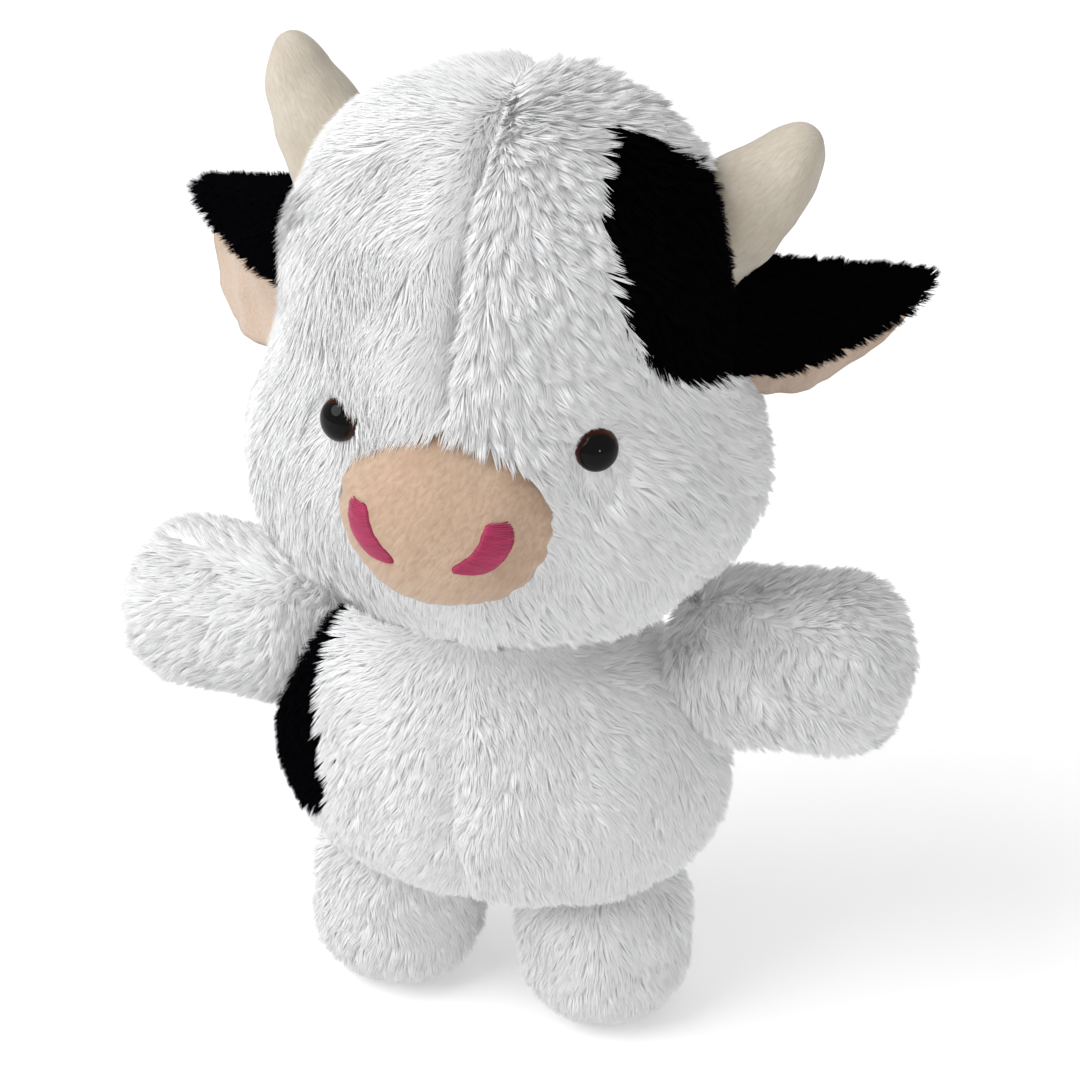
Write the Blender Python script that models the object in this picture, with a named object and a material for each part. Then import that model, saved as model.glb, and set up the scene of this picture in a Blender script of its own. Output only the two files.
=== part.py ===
# Plush cow standing on its two stub legs, with every fabric panel over its filling.
# Metres, +Z up. The cow looks along -Y, its left side is +X, and the origin is on the floor under its middle.
import math

import bmesh
import bpy
import numpy as np
from mathutils import Matrix, Vector

# Fits shared by every piece: between neighbours, and between a cloth and what lies inside it
CLEARANCE = 0.0003
FILLING_CLEARANCE = 0.0007
CUTTER_OVERRUN = 0.010
SOLE_FLAT_DEPTH = 0.0010

# Where the middle of the body stands, so that the middle of the whole toy is at the origin
STANCE_X = 0.0001
STANCE_Y = 0.0101

# Thickness of each cloth, measured with its pile
HEAD_PLUSH = 0.008
BODY_PLUSH = 0.006
MINKY = 0.003
SATIN = 0.0015

# Head
HEAD_WIDTH = 0.155
HEAD_DEPTH = 0.134
HEAD_HEIGHT = 0.158
HEAD_BOTTOM_Z = 0.140
HEAD_CENTRE_X = 0.0045
HEAD_CENTRE_Y = -0.0045
HEAD_SIDE_SEAM_Y = 0.011
HEAD_TAPER_SHARE = 0.163
HEAD_FULLNESS_SHARE = 0.70
# The sides are drawn in where the ears are sewn on
HEAD_WAIST_SHARE = 0.17
HEAD_WAIST_RISE_SHARE = 0.09
HEAD_WAIST_SPREAD_SHARE = 0.39
# The head sits a little turned and tilted on the body
HEAD_TURN = 3.0
HEAD_TILT = 2.0

# Body
BODY_WIDTH = 0.139
BODY_DEPTH = 0.094
BODY_BOTTOM_Z = 0.044
BODY_TOP_Z = 0.136
BODY_SIDE_SEAM_Y = 0.004
BODY_TAPER_SHARE = 0.07
BODY_FULLNESS_SHARE = 0.62

# Neck seam: a round top on the body that turns in a hollow under the head
NECK_RADIUS = 0.038
NECK_PIVOT_Z = 0.115

# Muzzle, set into the front of the head
MUZZLE_WIDTH = 0.060
MUZZLE_HEIGHT = 0.055
MUZZLE_DEPTH = 0.050
MUZZLE_CENTRE_Y = -0.058
MUZZLE_RISE_SHARE = 0.354
MUZZLE_CENTRE_Z = HEAD_BOTTOM_Z + HEAD_HEIGHT * MUZZLE_RISE_SHARE
MUZZLE_FULLNESS_SHARE = 0.85

# Nostrils, embroidered on the muzzle
NOSTRIL_HEIGHT = 0.0012
NOSTRIL_SPACING = 0.034
NOSTRIL_LENGTH = 0.021
NOSTRIL_WIDTH = 0.0075
NOSTRIL_DROP = 0.001
NOSTRIL_CENTRE_Z = MUZZLE_CENTRE_Z - NOSTRIL_DROP
NOSTRIL_TILT = 32.0
NOSTRIL_BEND_SHARE = 0.16
NOSTRIL_POINT_SHARE = 0.82
NOSTRIL_STEPS = 8

# Safety eyes with a stem and a lock washer behind the cloth
EYE_DIAMETER = 0.012
EYE_DOME_HEIGHT = 0.0055
EYE_RIM_HEIGHT = 0.0012
EYE_STEM_DIAMETER = 0.0036
EYE_STEM_LENGTH = 0.016
EYE_SINK = 0.0042
EYE_LEFT_ANGLE = 37.3
EYE_RIGHT_ANGLE = 29.0
EYE_RISE_SHARE = 0.49
EYE_CENTRE_Z = HEAD_BOTTOM_Z + HEAD_HEIGHT * EYE_RISE_SHARE
EYE_DOME_TURNS = (25.0, 50.0, 72.0)
WASHER_DIAMETER = 0.015
WASHER_SETBACK = 0.0018
WASHER_THICKNESS = 0.0016

# Horns
HORN_BASE_WIDTH = 0.036
HORN_BASE_DEPTH = 0.030
HORN_LENGTH = 0.048
HORN_ROOT_DEPTH = 0.008
HORN_BASE_OUT_SHARE = 0.56
HORN_BASE_X = HEAD_WIDTH / 2 * HORN_BASE_OUT_SHARE
HORN_BASE_Y = 0.0076
HORN_LEFT_RISE_SHARE = 0.694
HORN_RIGHT_RISE_SHARE = 0.715
HORN_LEFT_LEAN = 60.0
HORN_RIGHT_LEAN = 51.0
HORN_LEAN_BACK = 18.0
HORN_BEND_SHARE = 0.26
HORN_RISE_SHARES = [0.0, 0.25, 0.5, 0.72, 0.88, 0.97]
HORN_WIDTH_SHARES = [1.0, 0.93, 0.81, 0.64, 0.46, 0.28]

# Ears, pinched at the root and folded over at the top
EAR_LEFT_LENGTH = 0.056
EAR_RIGHT_LENGTH = 0.055
EAR_LEFT_BACK_FLAP = 0.034
EAR_RIGHT_BACK_FLAP = 0.045
EAR_FOLD_RADIUS = 0.008
EAR_PLUSH = 0.004
EAR_ROOT_RADIUS = 0.0085
EAR_ROOT_LENGTH = 0.0216
EAR_ROOT_DROP = 0.006
EAR_ROOT_SINK = 0.0015
EAR_ROOT_X = HEAD_WIDTH / 2 * (1 - HEAD_WAIST_SHARE) - EAR_ROOT_SINK
EAR_ROOT_Y = HEAD_SIDE_SEAM_Y
EAR_ROOT_RISE_SHARE = 0.575
EAR_ROOT_Z = HEAD_BOTTOM_Z + HEAD_HEIGHT * EAR_ROOT_RISE_SHARE
EAR_SWEEP_BACK = 38.0
EAR_LEFT_RAISE = -12.0
EAR_RIGHT_RAISE = -18.0
EAR_HINGE_LEAN = 14.0
EAR_SWING = 20.0
EAR_LEFT_FRONT_FLAP = 0.027
EAR_RIGHT_FRONT_FLAP = 0.017
EAR_FOLD_TURN = 165.0
EAR_ALONG_SHARES = [0.0, 0.12, 0.28, 0.45, 0.62, 0.78, 0.90, 1.0]
EAR_LEFT_BACK_SHARES = [0.92, 0.97, 1.0, 0.96, 0.84, 0.62, 0.40, 0.16]
EAR_RIGHT_BACK_SHARES = [0.92, 0.97, 1.0, 1.0, 0.95, 0.80, 0.62, 0.42]
EAR_FRONT_SHARES = [1.0, 0.95, 0.84, 0.70, 0.54, 0.38, 0.25, 0.10]
EAR_CROSS_POINTS = 10

# Arms
ARM_DIAMETER = 0.052
ARM_REACH = 0.120
ARM_PIVOT_OUT = 0.0035
ARM_PIVOT_X = BODY_WIDTH / 2 + ARM_PIVOT_OUT
ARM_PIVOT_Y = 0.006
ARM_LEFT_PIVOT_Z = 0.126
ARM_RIGHT_PIVOT_Z = 0.114
ARM_LEFT_RAISE = 6.0
ARM_RIGHT_RAISE = 0.0
ARM_TIP_LENGTH = 0.020
LIMB_END_FULLNESS_SHARE = 0.75

# Legs
LEG_DIAMETER = 0.053
LEG_SPACING = 0.067
LEG_PIVOT_Y = -0.002
LEG_PIVOT_Z = 0.035
LEG_SOLE_LENGTH = 0.021

# Black patches as directions from the middle of the form that carries them
HEAD_PATCH_OUTLINE = [(69, 64), (54, 58), (45, 50), (42, 38), (45, 28), (53, 17), (66, 9), (84, 4),
                      (108, 2), (120, 20), (108, 42), (88, 52)]
BODY_PATCH_OUTLINE = [(-76, 36), (-63, 22), (-54, 8), (-48, -5), (-53, -15), (-70, -20), (-100, -22),
                      (-125, -4), (-125, 24), (-100, 38)]

# Facets of the turned and swelling forms
HEAD_SEGMENTS = 20
HEAD_RINGS = 12
BODY_SEGMENTS = 20
BODY_RINGS = 12
LIMB_SEGMENTS = 12
LIMB_END_RINGS = 4
SMALL_SEGMENTS = 12
MUZZLE_SEGMENTS = 20
MUZZLE_RINGS = 10
SEAT_SEGMENTS = 16
SEAT_RINGS = 8


def make_material(name, colour, roughness):
    material = bpy.data.materials.new(name)
    material.use_nodes = True
    shader = material.node_tree.nodes["Principled BSDF"]
    shader.inputs["Base Color"].default_value = (*colour, 1.0)
    shader.inputs["Roughness"].default_value = roughness
    shader.inputs["Metallic"].default_value = 0.0
    material.diffuse_color = (*colour, 1.0)
    return material


def make_object(name, vertices, faces, material=None):
    mesh = bpy.data.meshes.new(name)
    mesh.from_pydata([tuple(v) for v in vertices], [], faces)
    body = bmesh.new()
    body.from_mesh(mesh)
    bmesh.ops.recalc_face_normals(body, faces=body.faces)
    body.to_mesh(mesh)
    body.free()
    item = bpy.data.objects.new(name, mesh)
    bpy.context.scene.collection.objects.link(item)
    if material:
        mesh.materials.append(material)
        mesh.shade_smooth()
        mesh.set_sharp_from_angle(angle=math.radians(40))
    else:
        item.hide_render = True
        item.display_type = "WIRE"
    return item


def ring_faces(rings, segments):
    # rings of vertices with one pole before the first ring and one after the last
    faces = []
    last = 1 + rings * segments
    for k in range(segments):
        after = (k + 1) % segments
        faces.append((0, 1 + after, 1 + k))
        faces.append((last, last - segments + k, last - segments + after))
    for i in range(rings - 1):
        base = 1 + i * segments
        for k in range(segments):
            after = (k + 1) % segments
            faces.append((base + k, base + after, base + segments + after, base + segments + k))
    return faces


def swept_form(name, centres, half_sizes, axes, segments, material=None):
    # elliptic rings along a line of centres; the first and last centre are the poles
    side, up = axes
    angles = np.linspace(0, 2 * math.pi, segments, endpoint=False)
    vertices = [centres[0]]
    for centre, (a, b) in zip(centres[1:-1], half_sizes):
        for angle in angles:
            vertices.append(centre + side * (a * math.cos(angle)) + up * (b * math.sin(angle)))
    vertices.append(centres[-1])
    return make_object(name, vertices, ring_faces(len(half_sizes), segments), material)


def egg_form(name, centre, half, axes, taper, fullness, rings, segments, material=None):
    # polar form: half length along the main axis, half width and half depth across it
    main, side, up = axes
    turns = np.linspace(0, math.pi, rings + 1)
    centres = [centre + main * (half[0] * math.cos(t)) for t in turns]
    half_sizes = []
    for t in turns[1:-1]:
        share = math.sin(t) ** fullness * (1 - taper * math.cos(t))
        half_sizes.append((half[1] * share, half[2] * share))
    return swept_form(name, centres, half_sizes, (side, up), segments, material)


X = Vector((1, 0, 0))
Y = Vector((0, 1, 0))
Z = Vector((0, 0, 1))


def head_waist(rise):
    # share of its width that the head keeps at this height
    away = (rise - HEAD_WAIST_RISE_SHARE) / HEAD_WAIST_SPREAD_SHARE
    return 1 - HEAD_WAIST_SHARE * math.exp(-away * away)


def head_form(name, inset, material=None):
    # an egg whose sides are drawn in at the ears
    centre = Vector((0, HEAD_CENTRE_Y, HEAD_BOTTOM_Z + HEAD_HEIGHT / 2))
    turns = np.linspace(0, math.pi, HEAD_RINGS + 1)
    centres = [centre + Z * ((HEAD_HEIGHT / 2 - inset) * math.cos(t)) for t in turns]
    half_sizes = []
    for t in turns[1:-1]:
        share = math.sin(t) ** HEAD_FULLNESS_SHARE * (1 - HEAD_TAPER_SHARE * math.cos(t))
        wide = HEAD_WIDTH / 2 * head_waist(math.cos(t))
        half_sizes.append(((wide - inset) * share, (HEAD_DEPTH / 2 - inset) * share))
    return swept_form(name, centres, half_sizes, (X, Y), HEAD_SEGMENTS, material)


def muzzle_form(name, inset, material=None):
    centre = Vector((0, MUZZLE_CENTRE_Y, MUZZLE_CENTRE_Z))
    half = (MUZZLE_DEPTH / 2 - inset, MUZZLE_WIDTH / 2 - inset, MUZZLE_HEIGHT / 2 - inset)
    return egg_form(name, centre, half, (-Y, X, Z), 0.0, MUZZLE_FULLNESS_SHARE,
                    MUZZLE_RINGS, MUZZLE_SEGMENTS, material)


def body_half_sizes(z, inset):
    # the larger of the swelling body and the round neck top at this height
    half_height = (BODY_TOP_Z - BODY_BOTTOM_Z) / 2 - inset
    rise = (z - (BODY_TOP_Z + BODY_BOTTOM_Z) / 2) / half_height
    wide = deep = 0.0
    if abs(rise) < 1:
        share = math.sqrt(1 - rise * rise) ** BODY_FULLNESS_SHARE * (1 - BODY_TAPER_SHARE * rise)
        wide = (BODY_WIDTH / 2 - inset) * share
        deep = (BODY_DEPTH / 2 - inset) * share
    neck = NECK_RADIUS - inset
    above = z - NECK_PIVOT_Z
    if 0 <= above < neck:
        round_top = math.sqrt(neck * neck - above * above)
        wide = max(wide, round_top)
        deep = max(deep, round_top)
    return wide, deep


def body_form(name, inset, material=None):
    bottom = BODY_BOTTOM_Z + inset
    top = NECK_PIVOT_Z + NECK_RADIUS - inset
    turns = np.linspace(0, math.pi, BODY_RINGS + 1)
    heights = [bottom + (top - bottom) * (1 - math.cos(t)) / 2 for t in turns]
    centres = [Z * z for z in heights]
    half_sizes = [body_half_sizes(z, inset) for z in heights[1:-1]]
    return swept_form(name, centres, half_sizes, (X, Y), BODY_SEGMENTS, material)


def limb_form(name, pivot, direction, axes, radius, length, end_length, inset, material=None):
    # a ball at the pivot, a straight stretch, and a full round end
    ball = radius - inset
    end = end_length - inset
    straight = length - end_length
    centres = []
    half_sizes = []
    for turn in np.linspace(0, math.pi / 2, LIMB_END_RINGS):
        centres.append(pivot - direction * (ball * math.cos(turn)))
        half_sizes.append((ball * math.sin(turn),) * 2)
    for turn in np.linspace(0, math.pi / 2, LIMB_END_RINGS):
        centres.append(pivot + direction * (straight + end * math.sin(turn)))
        half_sizes.append((ball * math.cos(turn) ** LIMB_END_FULLNESS_SHARE,) * 2)
    return swept_form(name, centres, half_sizes[1:-1], axes, LIMB_SEGMENTS, material)


def shoulder(side):
    return Vector((side * ARM_PIVOT_X, ARM_PIVOT_Y, ARM_LEFT_PIVOT_Z if side > 0 else ARM_RIGHT_PIVOT_Z))


def arm_form(name, side, inset, material=None):
    lift = math.radians(ARM_LEFT_RAISE if side > 0 else ARM_RIGHT_RAISE)
    direction = Vector((side * math.cos(lift), 0, math.sin(lift)))
    return limb_form(name, shoulder(side), direction, (Y, direction.cross(Y)), ARM_DIAMETER / 2,
                     ARM_REACH - ARM_PIVOT_X, ARM_TIP_LENGTH, inset, material)


def leg_form(name, side, inset, material=None):
    pivot = Vector((side * LEG_SPACING / 2, LEG_PIVOT_Y, LEG_PIVOT_Z))
    return limb_form(name, pivot, -Z, (X, Y), LEG_DIAMETER / 2, LEG_PIVOT_Z + SOLE_FLAT_DEPTH,
                     LEG_SOLE_LENGTH, inset, material)


def horn_axes(side):
    out = math.radians(HORN_LEFT_LEAN if side > 0 else HORN_RIGHT_LEAN)
    back = math.radians(HORN_LEAN_BACK)
    rise = math.cos(out)
    direction = Vector((side * math.sin(out), rise * math.sin(back), rise * math.cos(back)))
    across = direction.cross(Y).normalized()
    return direction, across, direction.cross(across).normalized()


def horn_form(name, side, inset, material=None):
    direction, across, along = horn_axes(side)
    rise_share = HORN_LEFT_RISE_SHARE if side > 0 else HORN_RIGHT_RISE_SHARE
    base = Vector((side * HORN_BASE_X, HORN_BASE_Y, HEAD_BOTTOM_Z + HEAD_HEIGHT * rise_share))
    length = HORN_LENGTH - inset
    # the horn bends upwards, more towards its tip
    upward = (Z - direction * direction.dot(Z)).normalized() * length * HORN_BEND_SHARE
    centres = [base - direction * HORN_ROOT_DEPTH]
    half_sizes = []
    for rise, width in zip(HORN_RISE_SHARES, HORN_WIDTH_SHARES):
        centres.append(base + direction * (length * rise) + upward * rise ** 2)
        half_sizes.append((HORN_BASE_WIDTH / 2 * width - inset * min(1.0, width * 2),
                           HORN_BASE_DEPTH / 2 * width - inset * min(1.0, width * 2)))
    centres.append(base + direction * length + upward)
    return swept_form(name, centres, half_sizes, (across, along), SMALL_SEGMENTS, material)


def box_cutter(name, low, high):
    ends = (low, high)
    corners = [Vector((a[0], b[1], c[2])) for a in ends for b in ends for c in ends]
    faces = [(0, 1, 3, 2), (4, 6, 7, 5), (0, 4, 5, 1), (2, 3, 7, 6), (0, 2, 6, 4), (1, 5, 7, 3)]
    return make_object(name, corners, faces)


def circumscribed(radius):
    # radius of a faceted ball whose flats stay outside the true ball
    return radius / math.cos(math.pi / SEAT_SEGMENTS) / math.cos(math.pi / (2 * SEAT_RINGS))


def ball_cutter(name, centre, radius):
    half = (circumscribed(radius),) * 3
    return egg_form(name, centre, half, (Z, X, Y), 0.0, 1.0, SEAT_RINGS, SEAT_SEGMENTS)


def turned_form(name, base, axis, profile, segments, material=None):
    # profile of (radius, distance along the axis), with a pole at each end
    side = axis.orthogonal().normalized()
    up = axis.cross(side).normalized()
    centres = [base + axis * profile[0][1]]
    centres += [base + axis * distance for radius, distance in profile]
    centres.append(base + axis * profile[-1][1])
    return swept_form(name, centres, [(radius, radius) for radius, distance in profile], (side, up),
                      segments, material)


def cut(item, cutter, operation="DIFFERENCE"):
    modifier = item.modifiers.new(operation.title() + " " + cutter.name, "BOOLEAN")
    modifier.operation = operation
    modifier.solver = "EXACT"
    modifier.object = cutter
    return modifier


def closed_curve(points, count):
    # smooth closed curve through the points
    points = [Vector(p) for p in points]
    result = []
    total = len(points)
    for i in range(total):
        p0, p1, p2, p3 = (points[(i + k) % total] for k in (-1, 0, 1, 2))
        for t in np.linspace(0, 1, count, endpoint=False):
            a = p1 * 2
            b = (p2 - p0) * t
            c = (p0 * 2 - p1 * 5 + p2 * 4 - p3) * t * t
            d = (p1 * 3 - p0 - p2 * 3 + p3) * t ** 3
            result.append((a + b + c + d) / 2)
    return result


def loft_between(name, inner, outer):
    # closed solid between two loops of equal count
    count = len(inner)
    faces = [tuple(range(count)), tuple(reversed(range(count, 2 * count)))]
    for k in range(count):
        after = (k + 1) % count
        faces.append((k, after, count + after, count + k))
    return make_object(name, inner + outer, faces)


def patch_cutter(name, outline, centre, reach, margin):
    # rays from the middle of a form through an outline of directions
    loop = closed_curve([(a, e, 0) for a, e in outline], 3)
    middle = sum(loop, Vector()) / len(loop)
    grown = []
    for point in loop:
        away = point - middle
        grown.append(middle + away * (1 + math.degrees(margin / reach) / away.length))
    rays = []
    for point in [middle, *grown]:
        azimuth = math.radians(point.x)
        rise = math.radians(point.y)
        flat = math.cos(rise)
        rays.append(Vector((math.sin(azimuth) * flat, -math.cos(azimuth) * flat, math.sin(rise))))
    count = len(grown)
    faces = []
    for k in range(count):
        after = (k + 1) % count
        faces.append((0, 2 + after, 2 + k))
        faces.append((1, 2 + k, 2 + after))
    return make_object(name, [centre] + [centre + ray * (reach * 2) for ray in rays], faces)


def remove_everything():
    for item in list(bpy.data.objects):
        bpy.data.objects.remove(item)


remove_everything()

WHITE_PLUSH = make_material("white plush", (0.80, 0.80, 0.79), 0.95)
BLACK_PLUSH = make_material("black plush", (0.006, 0.006, 0.008), 0.95)
CREAM_MINKY = make_material("cream minky", (0.79, 0.72, 0.60), 0.85)
BEIGE_MINKY = make_material("beige minky", (0.74, 0.50, 0.37), 0.85)
PEACH_SATIN = make_material("peach satin", (0.75, 0.45, 0.33), 0.35)
MAGENTA_THREAD = make_material("magenta thread", (0.50, 0.03, 0.11), 0.45)
EYE_PLASTIC = make_material("eye plastic", (0.03, 0.012, 0.006), 0.08)
WASHER_PLASTIC = make_material("washer plastic", (0.70, 0.70, 0.68), 0.5)
FIBRE_FILLING = make_material("fibre filling", (0.85, 0.85, 0.83), 1.0)

HEAD_CENTRE = Vector((0, HEAD_CENTRE_Y, HEAD_BOTTOM_Z + HEAD_HEIGHT / 2))
BODY_CENTRE = Vector((0, 0, (BODY_TOP_Z + BODY_BOTTOM_Z) / 2))
FAR = HEAD_WIDTH + HEAD_HEIGHT
HALF_SEAM = CLEARANCE / 2

# Cutters shared by several pieces
HEAD_LINING = head_form("head inner wall guide", HEAD_PLUSH)
NECK_SEAT = ball_cutter("neck seat cutter", Z * NECK_PIVOT_Z, NECK_RADIUS + CLEARANCE)
MUZZLE_HOLE = muzzle_form("muzzle hole cutter", -CLEARANCE)
HEAD_PATCH = patch_cutter("head patch cutter", HEAD_PATCH_OUTLINE, HEAD_CENTRE, HEAD_WIDTH / 2, 0.0)
HEAD_PATCH_HOLE = patch_cutter("head patch hole cutter", HEAD_PATCH_OUTLINE, HEAD_CENTRE, HEAD_WIDTH / 2,
                               CLEARANCE)


def eye_place(side):
    # where the eye's axis crosses the outside of the head, and the direction it looks in
    rise = (EYE_CENTRE_Z - HEAD_CENTRE.z) / (HEAD_HEIGHT / 2)
    share = math.sqrt(1 - rise * rise) ** HEAD_FULLNESS_SHARE * (1 - HEAD_TAPER_SHARE * rise)
    angle = math.radians(EYE_LEFT_ANGLE if side > 0 else EYE_RIGHT_ANGLE)
    waist = head_waist(rise)
    wide = HEAD_WIDTH / 2 * share * waist
    deep = HEAD_DEPTH / 2 * share
    point = Vector((side * wide * math.sin(angle), HEAD_CENTRE_Y - deep * math.cos(angle), EYE_CENTRE_Z))
    narrowing = HEAD_FULLNESS_SHARE * rise / (1 - rise * rise)
    narrowing += HEAD_TAPER_SHARE / (1 - HEAD_TAPER_SHARE * rise)
    # the drawn-in sides turn the surface a little more
    away = (rise - HEAD_WAIST_RISE_SHARE) / HEAD_WAIST_SPREAD_SHARE
    narrowing -= math.sin(angle) ** 2 * (1 / waist - 1) * 2 * away / HEAD_WAIST_SPREAD_SHARE
    slope = narrowing / (HEAD_HEIGHT / 2)
    outward = Vector((side * math.sin(angle) / wide, -math.cos(angle) / deep, slope)).normalized()
    return point, outward


def eye_profile(grow):
    # stem end, stem, flat back, rim, then the dome down to its crown
    stem = EYE_STEM_DIAMETER / 2 + grow
    rim = EYE_DIAMETER / 2 + grow
    dome = EYE_DOME_HEIGHT - EYE_RIM_HEIGHT + grow
    profile = [(stem, -EYE_STEM_LENGTH - grow), (stem, -grow), (rim, -grow), (rim, EYE_RIM_HEIGHT)]
    for turn in EYE_DOME_TURNS:
        angle = math.radians(turn)
        profile.append((rim * math.cos(angle), EYE_RIM_HEIGHT + dome * math.sin(angle)))
    return profile


def eye_pieces(side, label):
    point, outward = eye_place(side)
    back = point - outward * EYE_SINK
    eye = turned_form("eye_" + label, back, outward, eye_profile(0.0), SMALL_SEGMENTS, EYE_PLASTIC)
    well_profile = eye_profile(CLEARANCE)[:4]
    well_profile[-1] = (well_profile[-1][0], EYE_SINK + CUTTER_OVERRUN)
    well = turned_form("eye well cutter " + label, back, outward, well_profile, SMALL_SEGMENTS)
    # the washer lies against the inner wall of the head cover
    behind = back - outward * (HEAD_PLUSH - EYE_SINK + WASHER_THICKNESS + WASHER_SETBACK)
    ring = WASHER_DIAMETER / 2
    hole = EYE_STEM_DIAMETER / 2 + CLEARANCE
    washer = turned_form("eye_washer_" + label, behind, outward, [(ring, 0.0), (ring, WASHER_THICKNESS)],
                         SMALL_SEGMENTS, WASHER_PLASTIC)
    bore = turned_form("eye washer bore cutter " + label, behind, outward,
                       [(hole, -CUTTER_OVERRUN), (hole, CUTTER_OVERRUN)], SMALL_SEGMENTS)
    cut(washer, bore)
    room = ring + CLEARANCE
    pocket = turned_form("eye washer pocket cutter " + label, behind, outward,
                         [(room, -CLEARANCE), (room, CUTTER_OVERRUN)], SMALL_SEGMENTS)
    return well, pocket


def ear_axes(side):
    sweep = math.radians(EAR_SWEEP_BACK)
    lift = math.radians(EAR_LEFT_RAISE if side > 0 else EAR_RIGHT_RAISE)
    level = math.cos(lift)
    outward = Vector((side * math.cos(sweep) * level, math.sin(sweep) * level, math.sin(lift)))
    forward = Vector((side * math.sin(sweep), -math.cos(sweep), 0))
    upward = forward.cross(outward).normalized() * side
    return outward, forward, upward


def ear_back_flap(side):
    return EAR_LEFT_BACK_FLAP if side > 0 else EAR_RIGHT_BACK_FLAP


def ear_section(side, front_flap, leaf, depth):
    # from the low back edge up the back flap, over the fold and down the front flap
    back_flap = ear_back_flap(side) * leaf
    fold_turn = math.radians(EAR_FOLD_TURN)
    fold = EAR_FOLD_RADIUS * fold_turn * (1 + leaf) / 2
    tightest = EAR_PLUSH + SATIN + FILLING_CLEARANCE * 2
    full_turn = min(fold_turn, fold / tightest)
    run = np.linspace(0, back_flap + fold + front_flap, EAR_CROSS_POINTS)
    turn = np.clip((run - back_flap) / fold, 0, 1) * full_turn
    step = np.diff(run, prepend=0.0)
    middle_turn = (turn + np.roll(turn, 1)) / 2
    middle_turn[0] = 0.0
    forward = np.cumsum(np.sin(middle_turn) * step) - EAR_FOLD_RADIUS
    rise = np.cumsum(np.cos(middle_turn) * step)
    lift = ear_back_flap(side) / 2 - rise.max()
    forward = forward + np.cos(turn) * depth
    rise = rise + lift - np.sin(turn) * depth
    return list(zip(forward, rise))


def ear_sheet(name, side, front_flap, near, far, material):
    # one cloth of the ear, as a thick folded leaf between two depths from its outer face
    outward, forward, upward = ear_axes(side)
    root = Vector((side * EAR_ROOT_X, EAR_ROOT_Y, EAR_ROOT_Z))
    length = EAR_LEFT_LENGTH if side > 0 else EAR_RIGHT_LENGTH
    leaves = EAR_LEFT_BACK_SHARES if side > 0 else EAR_RIGHT_BACK_SHARES
    vertices = []
    for along, leaf, front in zip(EAR_ALONG_SHARES, leaves, EAR_FRONT_SHARES):
        reach = length * along
        for depth in (near, far):
            for ahead, rise in ear_section(side, front_flap * front, leaf, depth):
                vertices.append(root + outward * reach + forward * ahead + upward * rise)
    faces = []
    n = EAR_CROSS_POINTS
    for i in range(len(EAR_ALONG_SHARES) - 1):
        for j in range(n - 1):
            a = i * 2 * n + j
            faces.append((a, a + 1, a + 2 * n + 1, a + 2 * n))
            faces.append((a + n, a + 3 * n, a + 3 * n + 1, a + n + 1))
        for j in (0, n - 1):
            a = i * 2 * n + j
            faces.append((a, a + 2 * n, a + 3 * n, a + n))
    for i in (0, len(EAR_ALONG_SHARES) - 1):
        for j in range(n - 1):
            a = i * 2 * n + j
            faces.append((a, a + n, a + n + 1, a + 1))
    return make_object(name, vertices, faces, material)


def ear_hinge(side):
    # the root seam follows the side of the head
    lean = math.radians(EAR_HINGE_LEAN)
    root = Vector((side * EAR_ROOT_X, EAR_ROOT_Y, EAR_ROOT_Z))
    return root, Vector((-side * math.sin(lean), 0, math.cos(lean)))


def ear_root_roll(name, side, radius, half, segments, material=None):
    root, axis = ear_hinge(side)
    root = root - axis * EAR_ROOT_DROP
    blunt = radius / 2
    profile = [(blunt, -half), (radius, blunt - half), (radius, half - blunt), (blunt, half)]
    return turned_form(name, root, axis, profile, segments, material)


def quarter(name, sides, fronts, seam_y):
    # box holding one side and the front or the back of a form, half a seam short of its neighbours
    low = [-FAR, -FAR, -FAR]
    high = [FAR, FAR, FAR * 2]
    if sides > 0:
        low[0] = HALF_SEAM
    if sides < 0:
        high[0] = -HALF_SEAM
    if fronts > 0:
        high[1] = seam_y - HALF_SEAM
    if fronts < 0:
        low[1] = seam_y + HALF_SEAM
    return box_cutter(name, low, high)


def panel(name, form, thickness, box, material, cutters=()):
    item = form(name, 0.0, material)
    cut(item, form(name + " inner guide", thickness))
    cut(item, box, "INTERSECT")
    for cutter in cutters:
        cut(item, cutter)
    return item


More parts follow.
